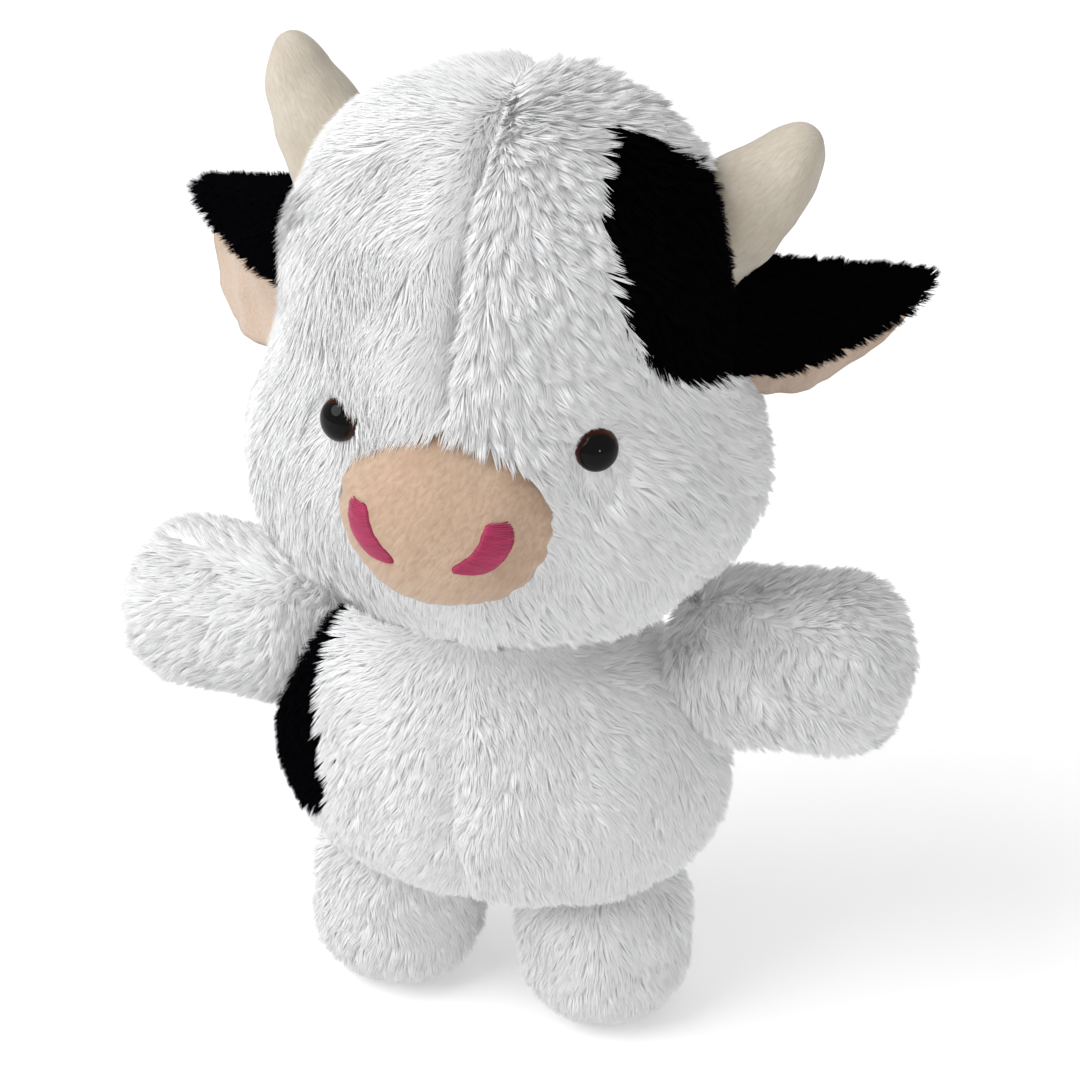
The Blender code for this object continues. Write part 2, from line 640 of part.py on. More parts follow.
def build_head():
    wells = {}
    pockets = {}
    horn_holes = {}
    ear_grooves = {}
    for side, label in ((1, "left"), (-1, "right")):
        wells[side], pockets[side] = eye_pieces(side, label)
        horn_holes[side] = horn_form("horn hole cutter " + label, side, -CLEARANCE)
        ear_grooves[side] = ear_root_roll("ear groove cutter " + label, side,
                                          circumscribed(EAR_ROOT_RADIUS + CLEARANCE),
                                          EAR_ROOT_LENGTH / 2 + CLEARANCE, SEAT_SEGMENTS)
        shared = [MUZZLE_HOLE, wells[side], horn_holes[side], ear_grooves[side], NECK_SEAT]
        front = quarter("head front guide " + label, side, 1, HEAD_SIDE_SEAM_Y)
        back = quarter("head back guide " + label, side, -1, HEAD_SIDE_SEAM_Y)
        patched = [HEAD_PATCH_HOLE] if side > 0 else []
        panel(f"head_front_{label}_panel", head_form, HEAD_PLUSH, front, WHITE_PLUSH, patched + shared)
        panel(f"head_back_{label}_panel", head_form, HEAD_PLUSH, back, WHITE_PLUSH, shared[2:])
        if side > 0:
            patch = panel("head_black_patch", head_form, HEAD_PLUSH, front, BLACK_PLUSH)
            cut(patch, HEAD_PATCH, "INTERSECT")
            cut(patch, horn_holes[side])
            cut(patch, ear_grooves[side])
        cover = horn_form(f"horn_{label}_cover", side, 0.0, CREAM_MINKY)
        cut(cover, horn_form("horn inner guide " + label, side, MINKY))
        cut(cover, HEAD_LINING)
        filling = horn_form(f"horn_{label}_filling", side, MINKY + FILLING_CLEARANCE, FIBRE_FILLING)
        cut(filling, HEAD_LINING)
    filling = head_form("head_filling", HEAD_PLUSH + FILLING_CLEARANCE, FIBRE_FILLING)
    cut(filling, muzzle_form("muzzle filling guide", MINKY + FILLING_CLEARANCE), "UNION")
    for cutter in [NECK_SEAT, *wells.values(), *pockets.values()]:
        cut(filling, cutter)
    cover = muzzle_form("muzzle_cover", 0.0, BEIGE_MINKY)
    cut(cover, muzzle_form("muzzle inner guide", MINKY))
    cut(cover, HEAD_LINING)


def nostril_outline():
    # a bean: half widths along a bent line, narrow at its upper end
    bend = NOSTRIL_LENGTH * NOSTRIL_BEND_SHARE
    left = []
    right = []
    for t in np.linspace(-1, 1, NOSTRIL_STEPS):
        along = t * NOSTRIL_LENGTH / 2
        off = bend * (1 - t * t)
        widening = NOSTRIL_POINT_SHARE + (1 - NOSTRIL_POINT_SHARE) * (1 + t) / 2
        half = NOSTRIL_WIDTH / 2 * widening * math.sqrt(1 - t ** 4) + NOSTRIL_HEIGHT / 4
        left.append((along, off + half))
        right.append((along, off - half))
    return left + right[::-1]


def build_nostrils():
    tilt = math.radians(NOSTRIL_TILT)
    for side, label in ((1, "left"), (-1, "right")):
        nostril = muzzle_form("nostril_" + label, -NOSTRIL_HEIGHT, MAGENTA_THREAD)
        cut(nostril, muzzle_form("nostril seat guide " + label, -CLEARANCE))
        loop = []
        for along, off in nostril_outline():
            across = -along * math.sin(tilt) - off * math.cos(tilt)
            down = along * math.cos(tilt) - off * math.sin(tilt)
            loop.append(Vector((side * (NOSTRIL_SPACING / 2 + across), 0, NOSTRIL_CENTRE_Z - down)))
        front = Vector((0, MUZZLE_CENTRE_Y - MUZZLE_DEPTH, 0))
        back = Vector((0, MUZZLE_CENTRE_Y, 0))
        prism = loft_between("nostril outline cutter " + label, [p + back for p in loop],
                             [p + front for p in loop])
        cut(nostril, prism, "INTERSECT")


def build_ears():
    flaps = {1: EAR_LEFT_FRONT_FLAP, -1: EAR_RIGHT_FRONT_FLAP}
    for side, label in ((1, "left"), (-1, "right")):
        half = EAR_ROOT_LENGTH / 2
        # the head and the horn as the ear meets them while the ear swings
        root, axis = ear_hinge(side)
        heads = []
        for swing in (-1.0, 0.0, 1.0):
            turn = Matrix.Rotation(math.radians(EAR_SWING * swing), 4, axis)
            head = head_form(f"head swing cutter {label} {len(heads)}", -CLEARANCE * 2)
            horn = horn_form(f"horn swing cutter {label} {len(heads)}", side, -CLEARANCE * 2)
            for item in (head, horn):
                item.data.transform(Matrix.Translation(root) @ turn @ Matrix.Translation(-root))
                heads.append(item)
        outer = ear_sheet(f"ear_{label}_outer", side, flaps[side], 0.0, EAR_PLUSH, BLACK_PLUSH)
        inside = EAR_PLUSH + FILLING_CLEARANCE
        lining = ear_sheet(f"ear_{label}_lining", side, flaps[side], inside, inside + SATIN, PEACH_SATIN)
        for head in heads:
            cut(outer, head)
            cut(lining, head)
        roll = ear_root_roll("ear root guide " + label, side, EAR_ROOT_RADIUS, half, SMALL_SEGMENTS)
        cut(outer, roll, "UNION")
        room = circumscribed(EAR_ROOT_RADIUS + CLEARANCE)
        cut(lining, ear_root_roll("ear lining root cutter " + label, side, room, half + CLEARANCE,
                                  SEAT_SEGMENTS))


def build_body():
    reach = BODY_WIDTH / 2
    patch_shape = patch_cutter("body patch cutter", BODY_PATCH_OUTLINE, BODY_CENTRE, reach, 0.0)
    patch_hole = patch_cutter("body patch hole cutter", BODY_PATCH_OUTLINE, BODY_CENTRE, reach, CLEARANCE)
    seats = []
    for side, label in ((1, "left"), (-1, "right")):
        hip = Vector((side * LEG_SPACING / 2, LEG_PIVOT_Y, LEG_PIVOT_Z))
        arm_room = ARM_DIAMETER / 2 + CLEARANCE
        leg_room = LEG_DIAMETER / 2 + CLEARANCE
        seats.append(ball_cutter("shoulder seat cutter " + label, shoulder(side), arm_room))
        seats.append(ball_cutter("hip seat cutter " + label, hip, leg_room))
    left = quarter("body front guide left", 1, 1, BODY_SIDE_SEAM_Y)
    right = quarter("body front guide right", -1, 1, BODY_SIDE_SEAM_Y)
    back = quarter("body back guide", 0, -1, BODY_SIDE_SEAM_Y)
    panel("body_front_left_panel", body_form, BODY_PLUSH, left, WHITE_PLUSH, seats)
    panel("body_front_right_panel", body_form, BODY_PLUSH, right, WHITE_PLUSH, [patch_hole] + seats)
    panel("body_back_panel", body_form, BODY_PLUSH, back, WHITE_PLUSH, seats)
    patch = panel("body_black_patch", body_form, BODY_PLUSH, right, BLACK_PLUSH)
    cut(patch, patch_shape, "INTERSECT")
    for seat in seats[2:]:
        cut(patch, seat)
    filling = body_form("body_filling", BODY_PLUSH + FILLING_CLEARANCE, FIBRE_FILLING)
    for seat in seats:
        cut(filling, seat)


def build_limbs():
    floor = box_cutter("floor cutter", (-FAR, -FAR, -FAR), (FAR, FAR, 0.0))
    for limb, form, seam_y in (("arm", arm_form, ARM_PIVOT_Y), ("leg", leg_form, LEG_PIVOT_Y)):
        for side, label in ((1, "left"), (-1, "right")):

            def sided(name, inset, material=None, form=form, side=side):
                return form(name, side, inset, material)

            for half, fronts in (("front", 1), ("back", -1)):
                box = quarter(f"{limb} {half} guide {label}", 0, fronts, seam_y)
                cutters = [floor] if limb == "leg" else []
                panel(f"{limb}_{label}_{half}_panel", sided, BODY_PLUSH, box, WHITE_PLUSH, cutters)
            sided(f"{limb}_{label}_filling", BODY_PLUSH + FILLING_CLEARANCE, FIBRE_FILLING)


def turn_head():
    # every piece and cutter of the head, except the neck seat, hangs on one turned empty
    pivot = bpy.data.objects.new("head_turn", None)
    bpy.context.scene.collection.objects.link(pivot)
    for item in bpy.data.objects:
        if item != pivot and item != NECK_SEAT:
            item.parent = pivot
            item.matrix_parent_inverse = Matrix.Translation(-HEAD_CENTRE)
    pivot.location = HEAD_CENTRE + X * HEAD_CENTRE_X
    pivot.rotation_euler = (0.0, math.radians(HEAD_TILT), math.radians(HEAD_TURN))


def stand():
    # the whole toy hangs on one empty that centres it over the origin
    foot = bpy.data.objects.new("stance", None)
    bpy.context.scene.collection.objects.link(foot)
    foot.location = (STANCE_X, STANCE_Y, 0.0)
    for item in bpy.data.objects:
        if item != foot and not item.parent:
            item.parent = foot


build_head()
build_nostrils()
build_ears()
turn_head()
build_body()
build_limbs()
stand()
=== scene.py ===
import math

import bpy
import numpy as np
from mathutils import Matrix, Vector


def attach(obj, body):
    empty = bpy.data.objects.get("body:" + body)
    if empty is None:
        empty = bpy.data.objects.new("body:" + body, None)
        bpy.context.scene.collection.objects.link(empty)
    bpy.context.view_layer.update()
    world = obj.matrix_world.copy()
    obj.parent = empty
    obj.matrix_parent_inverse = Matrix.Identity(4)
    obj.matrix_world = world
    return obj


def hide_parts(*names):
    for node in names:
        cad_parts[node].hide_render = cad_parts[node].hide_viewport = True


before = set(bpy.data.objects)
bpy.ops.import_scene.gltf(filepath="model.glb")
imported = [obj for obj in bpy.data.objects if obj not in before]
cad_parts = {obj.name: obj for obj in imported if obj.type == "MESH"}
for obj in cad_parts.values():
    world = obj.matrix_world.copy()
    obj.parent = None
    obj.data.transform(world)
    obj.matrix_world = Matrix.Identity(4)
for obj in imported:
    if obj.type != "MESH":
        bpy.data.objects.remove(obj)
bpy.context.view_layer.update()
scene = bpy.context.scene
print("frame loaded")

# from the frame's origin to the middle of the toy's stance
stance = np.array([0.0001, 0.0101, 0.0])
axisX, axisY, axisZ = np.eye(3)
sides = ((1, "Left"), (-1, "Right"))

# Camera first: looks down at the front, a little from the cow's left
view = dict(azimuth=18.0, elevation=28.0, distance=0.80, fieldOfView=22.0, nearest=0.01,
            target=(0.0001, 0.0101, 0.161), targetPixel=(500, 520), frame=1080)


def placeCamera():
    turn = math.radians(view["azimuth"])
    rise = math.radians(view["elevation"])
    right = Vector((math.cos(turn), math.sin(turn), 0))
    up = Vector((-math.sin(turn) * math.sin(rise), math.cos(turn) * math.sin(rise), math.cos(rise)))
    back = right.cross(up)
    halfFrame = view["distance"] * math.tan(math.radians(view["fieldOfView"]) / 2)
    perPixel = 2 * halfFrame / view["frame"]
    middle = view["frame"] / 2
    across = (middle - view["targetPixel"][0]) * perPixel
    upward = (view["targetPixel"][1] - middle) * perPixel
    camera = bpy.data.objects.new("photoCamera", bpy.data.cameras.new("photoCamera"))
    pose = Matrix((right, up, back)).transposed().to_4x4()
    pose.translation = Vector(view["target"]) + right * across + up * upward + back * view["distance"]
    camera.matrix_world = pose
    camera.data.angle = math.radians(view["fieldOfView"])
    camera.data.clip_start = view["nearest"]
    scene.collection.objects.link(camera)
    scene.camera = camera


placeCamera()
print("camera placed")


# Materials

def newMaterial(name, colour, roughness, **sockets):
    material = bpy.data.materials.new(name)
    material.use_nodes = True
    shader = material.node_tree.nodes["Principled BSDF"]
    shader.inputs["Base Color"].default_value = (*colour, 1.0)
    shader.inputs["Roughness"].default_value = roughness
    for socket, value in sockets.items():
        shader.inputs[socket.replace("_", " ")].default_value = value
    material.diffuse_color = (*colour, 1.0)
    return material, material.node_tree, shader


def feed(tree, socket, value):
    # a socket takes another node's output or a plain value
    if hasattr(value, "is_output"):
        tree.links.new(value, socket)
    else:
        socket.default_value = value


def addNode(tree, kind, inputs=(), **settings):
    # inputs pairs the name or number of a socket with what feeds it
    node = tree.nodes.new(kind)
    for key, value in settings.items():
        setattr(node, key, value)
    for key, value in dict(inputs).items():
        feed(tree, node.inputs[key], value)
    return node


def groupWith(name, inputs, outputs):
    tree = bpy.data.node_groups.new(name, "ShaderNodeTree")
    for label, kind, value in inputs:
        socket = tree.interface.new_socket(name=label, in_out="INPUT", socket_type=kind)
        socket.default_value = value
    for label, kind in outputs:
        tree.interface.new_socket(name=label, in_out="OUTPUT", socket_type=kind)
    return tree, tree.nodes.new("NodeGroupInput"), tree.nodes.new("NodeGroupOutput")


def mixColour(tree, blend, factor, first, second):
    mix = addNode(tree, "ShaderNodeMix", {0: factor, 6: first, 7: second},
                  data_type="RGBA", blend_type=blend)
    return mix.outputs[2]


def addRamp(tree, factor, stops):
    # the colour between stops, each a place from 0 to 1 and a colour
    ramp = addNode(tree, "ShaderNodeValToRGB", {0: factor})
    elements = ramp.color_ramp.elements
    for place, colour in stops[1:-1]:
        elements.new(place)
    for element, (place, colour) in zip(elements, stops):
        element.position = place
        element.color = (*colour, 1.0)
    return ramp.outputs["Color"]


def pileShadeGroup():
    # colour of a strand from its root to its tip, with a lighter or darker tone for each lock; the darker root
    # is painted shade, standing in for the shadow down among the strands
    tree, inside, outside = groupWith(
        "pileShade",
        [("Root", "NodeSocketColor", (0.5, 0.5, 0.5, 1)), ("Tip", "NodeSocketColor", (0.9, 0.9, 0.9, 1)),
         ("Lock", "NodeSocketColor", (0.7, 0.7, 0.7, 1))],
        [("Color", "NodeSocketColor")])
    attribute = addNode(tree, "ShaderNodeAttribute", attribute_name="pile")
    split = addNode(tree, "ShaderNodeSeparateXYZ", {0: attribute.outputs["Vector"]})
    along = mixColour(tree, "MIX", split.outputs[1], inside.outputs["Root"], inside.outputs["Tip"])
    toned = mixColour(tree, "MIX", split.outputs[0], along, inside.outputs["Lock"])
    feed(tree, outside.inputs["Color"], toned)
    return tree


def clothReliefGroup():
    # short combed pile or weave: noise stretched along the cloth's own map, and softer blotches
    tree, inside, outside = groupWith(
        "clothRelief",
        [("Across", "NodeSocketFloat", 900.0), ("Along", "NodeSocketFloat", 260.0),
         ("Blotch", "NodeSocketFloat", 60.0), ("Depth", "NodeSocketFloat", 0.5)],
        [("Height", "NodeSocketFloat"), ("Mask", "NodeSocketFloat")])
    given = inside.outputs
    place = addNode(tree, "ShaderNodeUVMap", uv_map="clothMap").outputs["UV"]
    scale = addNode(tree, "ShaderNodeCombineXYZ", {0: given["Across"], 1: given["Along"]})
    stretch = addNode(tree, "ShaderNodeVectorMath", {0: place, 1: scale.outputs[0]}, operation="MULTIPLY")
    streaks = addNode(tree, "ShaderNodeTexNoise",
                      {"Vector": stretch.outputs[0], "Scale": 1.0, "Detail": 3.0, "Distortion": 0.6})
    blotches = addNode(tree, "ShaderNodeTexNoise",
                       {"Vector": place, "Scale": given["Blotch"], "Detail": 2.0})
    streak, blotch = streaks.outputs["Fac"], blotches.outputs["Fac"]
    deep = addNode(tree, "ShaderNodeMath", {0: streak, 1: given["Depth"]}, operation="MULTIPLY")
    total = addNode(tree, "ShaderNodeMath", {0: deep.outputs[0], 1: blotch}, operation="ADD")
    shade = addNode(tree, "ShaderNodeMath", {0: streak, 1: blotch}, operation="MULTIPLY")
    feed(tree, outside.inputs["Height"], total.outputs[0])
    feed(tree, outside.inputs["Mask"], shade.outputs[0])
    return tree


pileShade = pileShadeGroup()
clothRelief = clothReliefGroup()


def pileMaterial(name, root, tip, lock, **sockets):
    material, tree, shader = newMaterial(name, tip, 1.0, Specular_IOR_Level=0.0, **sockets)
    colours = dict(Root=(*root, 1.0), Tip=(*tip, 1.0), Lock=(*lock, 1.0))
    group = addNode(tree, "ShaderNodeGroup", colours, node_tree=pileShade)
    feed(tree, shader.inputs["Base Color"], group.outputs["Color"])
    return material


def clothMaterial(name, low, high, roughness, relief, bump, **sockets):
    # relief: streaks per metre across and along, blotches per metre, depth of the streaks;
    # bump: its strength and its height in metres
    material, tree, shader = newMaterial(name, high, roughness, **sockets)
    relief = dict(zip(("Across", "Along", "Blotch", "Depth"), relief))
    group = addNode(tree, "ShaderNodeGroup", relief, node_tree=clothRelief)
    colour = addRamp(tree, group.outputs["Mask"], [(0.12, low), (0.38, high)])
    bumps = addNode(tree, "ShaderNodeBump",
                    {"Strength": bump[0], "Distance": bump[1], "Height": group.outputs["Height"]})
    feed(tree, shader.inputs["Base Color"], colour)
    feed(tree, shader.inputs["Normal"], bumps.outputs["Normal"])
    return material


# both piles are darker at the root than at the tip: painted shade down among the strands
whitePile = pileMaterial("whitePile", (0.86, 0.86, 0.87), (0.94, 0.945, 0.95), (0.87, 0.87, 0.88),
                         # the glow is painted light: it lifts the shade between the strands, as light
                         # scattered through white fur would
                         Emission_Color=(1, 1, 1, 1), Emission_Strength=0.09)
blackPile = pileMaterial("blackPile", (0.0012, 0.0012, 0.0016), (0.0034, 0.0034, 0.0046),
                         (0.0018, 0.0018, 0.0024))
whiteBacking, _, _ = newMaterial("whiteBacking", (0.88, 0.88, 0.88), 0.95)
blackBacking, _, _ = newMaterial("blackBacking", (0.002, 0.002, 0.0025), 1.0, Specular_IOR_Level=0.1)
creamMinky = clothMaterial("creamMinky", (0.51, 0.445, 0.355), (0.62, 0.565, 0.485), 0.9,
                           (950, 300, 40, 0.9), (0.45, 0.0006), Sheen_Weight=0.2, Specular_IOR_Level=0.2)
beigeMinky = clothMaterial("beigeMinky", (0.45, 0.30, 0.21), (0.58, 0.425, 0.31), 0.9,
                           (900, 330, 45, 0.9), (0.45, 0.0005), Sheen_Weight=0.2, Specular_IOR_Level=0.2)
peachSatin = clothMaterial("peachSatin", (0.52, 0.38, 0.29), (0.65, 0.51, 0.40), 0.36,
                           (1200, 1200, 14, 0.15), (0.2, 0.0008), Sheen_Weight=0.15)
magentaThread = clothMaterial("magentaThread", (0.25, 0.006, 0.045), (0.52, 0.028, 0.13), 0.38,
                              (2600, 120, 40, 0.6), (0.3, 0.0002), Anisotropic=0.5)
fibreFilling, _, _ = newMaterial("fibreFilling", (0.82, 0.82, 0.81), 1.0)
print("materials made")


# Surfaces: a grid of rows from pole to pole and columns around, as an array rows x columns x 3

def gridFrom(centres, wide, deep, side, up, columns):
    # each row is an ellipse about its centre: side times wide cos, plus up times deep sin
    turns = np.linspace(0, 2 * np.pi, columns, endpoint=False)
    around = wide[:, None, None] * np.cos(turns)[None, :, None] * side
    around = around + deep[:, None, None] * np.sin(turns)[None, :, None] * up
    return centres[:, None, :] + around


def eggGrid(centre, half, main, side, up, taper, fullness, rows, columns):
    # ring size is the sine of the turn to a power, less the taper towards the start
    turns = np.linspace(0, np.pi, rows)
    share = np.sin(turns) ** fullness * (1 - taper * np.cos(turns))
    share[[0, -1]] = 0
    centres = np.asarray(centre) + main * (half[0] * np.cos(turns))[:, None]
    return gridFrom(centres, half[1] * share, half[2] * share, side, up, columns)


def limbGrid(pivot, along, side, up, radius, length, tip, rows, columns):
    # half a ball behind the pivot, a straight stretch with two rings, and a full round end
    early = np.linspace(0, np.pi / 2, rows)
    straight = [0.33 * (length - tip), 0.67 * (length - tip)]
    reach = np.concatenate([-radius * np.cos(early), straight, length - tip + tip * np.sin(early)])
    share = np.concatenate([np.sin(early), [1.0, 1.0], np.cos(early) ** 0.75])
    share[[0, -1]] = 0
    centres = np.asarray(pivot) + along * reach[:, None]
    return gridFrom(centres, radius * share, radius * share, side, up, columns)


def normalsOf(grid):
    # cross product of the slopes along the rows and around them, turned outwards
    down = np.gradient(grid, axis=0)
    around = np.roll(grid, -1, axis=1) - np.roll(grid, 1, axis=1)
    normals = np.cross(around, down)
    normals[0] = normals[1].mean(axis=0)
    normals[-1] = normals[-2].mean(axis=0)
    normals /= np.linalg.norm(normals, axis=2, keepdims=True) + 1e-12
    outward = ((grid - grid.mean(axis=(0, 1))) * normals).sum()
    return normals * np.sign(outward)


def unit(vectors):
    return vectors / (np.linalg.norm(vectors, axis=-1, keepdims=True) + 1e-12)


def smoothStep(values, low, high):
    share = np.clip((values - low) / (high - low), 0, 1)
    return share * share * (3 - 2 * share)


def ripple(points, size, seed):
    # sum of seven sine waves in random directions, from about -1 to 1
    rng = np.random.default_rng(seed)
    waves = unit(rng.normal(size=(7, 3))) * rng.uniform(0.6, 1.5, (7, 1)) * 2 * np.pi / size
    return np.sin(points @ waves.T + rng.uniform(0, 2 * np.pi, 7)).sum(axis=-1) / 3.2


def moved(points, matrix):
    return points @ np.array(matrix.to_3x3()).T + np.array(matrix.translation)


def turned(vectors, matrix):
    return vectors @ np.array(matrix.to_3x3()).T


def linkedObject(name, mesh, materials):
    mesh.shade_smooth()
    item = bpy.data.objects.new(name, mesh)
    scene.collection.objects.link(item)
    for material in materials:
        mesh.materials.append(material)
    return item


def meshObject(name, points, faces, *materials):
    mesh = bpy.data.meshes.new(name)
    mesh.from_pydata(points.tolist(), [], faces)
    return linkedObject(name, mesh, materials)


def closedFaces(rows, columns, flip):
    # one pole, rings of quads, one pole
    ring = np.arange(columns)
    after = np.roll(ring, -1)
    last = 1 + rows * columns
    base = 1 + np.arange(rows - 1)[:, None] * columns
    quads = np.stack([base + ring, base + after, base + columns + after, base + columns + ring], -1)
    start = np.stack([np.zeros_like(ring), 1 + after, 1 + ring], -1)
    end = np.stack([np.full_like(ring, last), last - columns + ring, last - columns + after], -1)
    faces = quads.reshape(-1, 4).tolist() + start.tolist() + end.tolist()
    return [face[::-1] for face in faces] if flip else faces


def skinValues(grid):
    # the first pole, every point of the rings, the last pole
    return np.concatenate([grid[:1, 0], grid[1:-1].reshape(-1, grid.shape[2]), grid[-1:, 0]])


def closedObject(name, grid, pose, materials, pairs=None):
    # a closed skin over a grid, with its own cloth map in metres where no other is given
    rows, columns = grid.shape[0] - 2, grid.shape[1]
    a, b, c = grid[1, 0], grid[1, 1], grid[2, 1]
    flip = np.dot(np.cross(b - a, c - a), normalsOf(grid)[1, 0]) < 0
    grid = moved(grid, pose)
    item = meshObject(name, skinValues(grid), closedFaces(rows, columns, flip), *materials)
    addClothMap(item, clothCoordinates(grid) if pairs is None else pairs)
    return item


def clothCoordinates(grid):
    # metres around and metres along, one pair for each vertex of the closed skin
    steps = np.linalg.norm(np.diff(grid, axis=0), axis=2).mean(axis=1)
    along = np.concatenate([[0], np.cumsum(steps)])
    girth = np.linalg.norm(np.roll(grid, -1, axis=1) - grid, axis=2).sum(axis=1).max()
    around = np.abs(np.linspace(-1, 1, grid.shape[1], endpoint=False)) * girth / 2
    return skinValues(np.stack(np.broadcast_arrays(around[None, :], along[:, None]), -1))


def addClothMap(item, pairs):
    layer = item.data.uv_layers.new(name="clothMap")
    corners = np.empty(len(item.data.loops), dtype=np.int32)
    item.data.loops.foreach_get("vertex_index", corners)
    layer.data.foreach_set("uv", np.asarray(pairs)[corners].ravel().astype(np.float32))


def puffUp(grid, held, swell):
    # the stuffing pushes the cloth out along its normals by the swell, except at its held seams
    free = np.clip(1 - held, 0, 1)[..., None]
    return grid + normalsOf(grid) * swell * free


def shaped(grid, depthOf):
    # push a grid inwards by a depth worked out at each point
    flat = grid.reshape(-1, 3)
    return (flat - normalsOf(grid).reshape(-1, 3) * depthOf(flat)[:, None]).reshape(grid.shape)


def declare(item, body, node):
    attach(item, body)
    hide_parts(node)


# Pile: three-sided spikes that share locks. Each spread is the lowest and highest share drawn at random,
# tones is how much of a strand's tone is its own and how much its lock's, lengths are in metres,
# and lean, swirl, lockTurn, lockLift, lift and flatten are in degrees

whiteStrands = dict(flat=0.45, softness=0.88, stray=0.12, lift=2, flatten=0, lockScatter=0.0004,
                    lockShare=0.6, lockSpread=(0.88, 1.12), lengthSpread=(0.82, 1.12), narrowest=0.5,
                    pullSpread=(0.55, 1.1), widthSpread=(0.75, 1.2), tones=(0.15, 0.8), roundReach=1.4)


def scatter(grid, normals, count, seed, even=True):
    # points over the area of a grid, with their normals; even puts one in each equal share of the area
    rng = np.random.default_rng(seed)
    a, b, c, d = grid[:-1, :-1], grid[:-1, 1:], grid[1:, :-1], grid[1:, 1:]
    area = np.linalg.norm(np.cross(d - a, c - b), axis=2).ravel()
    drawn = rng.random(count)
    if even:
        drawn = (np.arange(count) + drawn) / count
    cell = np.minimum(np.searchsorted(np.cumsum(area) / area.sum(), drawn), len(area) - 1)
    row, column = np.divmod(cell, grid.shape[1] - 1)
    s, t = rng.random((count, 1)), rng.random((count, 1))

    def blend(array):
        top = array[row, column] * (1 - s) + array[row, column + 1] * s
        low = array[row + 1, column] * (1 - s) + array[row + 1, column + 1] * s
        return top * (1 - t) + low * t

    return blend(grid), unit(blend(normals))


def nearest(points, centres, block=4000):
    # index of the nearest centre for each point
    best = np.empty(len(points), dtype=int)
    squares = (centres ** 2).sum(axis=1)
    for first in range(0, len(points), block):
        some = points[first:first + block]
        best[first:first + block] = (squares - 2 * some @ centres.T).argmin(axis=1)
    return best


def tangentPart(directions, normals):
    return unit(directions - normals * (directions * normals).sum(axis=1, keepdims=True))


def strandTips(roots, normals, comb, length, lean, lift):
    # length times the normal's and the comb's shares at the lean, less the strand's own lift
    angle = (np.radians(lean) - np.radians(lift))[:, None]
    return roots + length[:, None] * (normals * np.cos(angle) + comb * np.sin(angle))


def drawStrands(rng, look, roots, up, comb, length, lock, lockTips, lockLift, tuft):
    # each strand leans with its lock, and is pulled towards the lock's own tip
    lift = lockLift[lock] + rng.normal(0, look["lift"], len(roots)) - (1 - tuft) * look["flatten"]
    tips = strandTips(roots, up, comb, length, look["lean"], lift)
    pull = (look["pull"] * tuft * rng.uniform(*look["pullSpread"], len(roots)))[:, None]
    tips = tips * (1 - pull) + lockTips[lock] * pull
    own, shared = look["tones"]
    tone = own * rng.random(len(roots)) + shared * rng.random(len(lockTips))[lock] * tuft
    width = look["width"] * rng.uniform(*look["widthSpread"], len(roots))
    return dict(root=roots, curve=np.stack([roots, tips], 1), normal=up, soft=up,
                tone=np.clip(tone, 0, 1), width=width)


def growPile(grid, look, seed, combOf, lengthOf, keepOf, tuftOf=None, standOf=None):
    # pile over a closed grid, combed in soft swirls; locks show where the tuft is near 1
    rng = np.random.default_rng(seed)
    full, normals = (np.concatenate([each, each[:, :1]], axis=1) for each in (grid, normalsOf(grid)))
    roots, up = scatter(full, normals, look["count"], seed)
    lockRoots, lockUp = scatter(full, normals, look["locks"], seed + 1)
    lockRoots = lockRoots + rng.normal(0, look["lockScatter"], lockRoots.shape)
    kept = keepOf(roots)
    roots, up = roots[kept], up[kept]
    lock = nearest(roots, lockRoots)

    def combed(points, outward):
        comb = tangentPart(combOf(points), outward)
        side = np.cross(outward, comb)
        large = ripple(points, look["swirlSize"], seed + 2)[:, None]
        small = ripple(points, look["swirlSize"] / 3, seed + 3)[:, None]
        swirl = np.radians(look["swirl"]) * (large + 0.5 * small)
        return unit(comb * np.cos(swirl) + side * np.sin(swirl))

    lockComb = combed(lockRoots, lockUp)
    turn = np.radians(look["lockTurn"]) * rng.normal(size=(len(lockRoots), 1))
    lockComb = lockComb * np.cos(turn) + np.cross(lockUp, lockComb) * np.sin(turn)
    lockLength = look["length"] * lengthOf(lockRoots) * rng.uniform(*look["lockSpread"], len(lockRoots))
    tuft = np.ones(len(roots)) if tuftOf is None else tuftOf(roots)
    lockLift = rng.normal(0, look["lockLift"], len(lockRoots)) * (1 if tuftOf is None else tuftOf(lockRoots))
    if standOf is not None:
        lockLift = lockLift + standOf(lockRoots)
    lockTips = strandTips(lockRoots, lockUp, lockComb, lockLength, look["lean"], lockLift)
    comb = combed(roots, up) * (1 - look["lockShare"]) + lockComb[lock] * look["lockShare"]
    comb = tangentPart(unit(comb + rng.normal(0, look["stray"], roots.shape)), up)
    length = look["length"] * lengthOf(roots) * rng.uniform(*look["lengthSpread"], len(roots))
    strands = drawStrands(rng, look, roots, up, comb, length, lock, lockTips, lockLift, tuft)
    strands["width"] = strands["width"] * np.clip(length / look["length"], look["narrowest"], 1)
    # the shading normal turns outwards from the middle of the lock, as on a rounded tuft
    beside = roots - lockRoots[lock]
    beside = beside - up * (beside * up).sum(axis=1, keepdims=True)
    radius = np.median(np.linalg.norm(beside, axis=1)) * look["roundReach"]
    strands["soft"] = unit(up + beside / radius * (look["round"] * tuft)[:, None])
    return strands


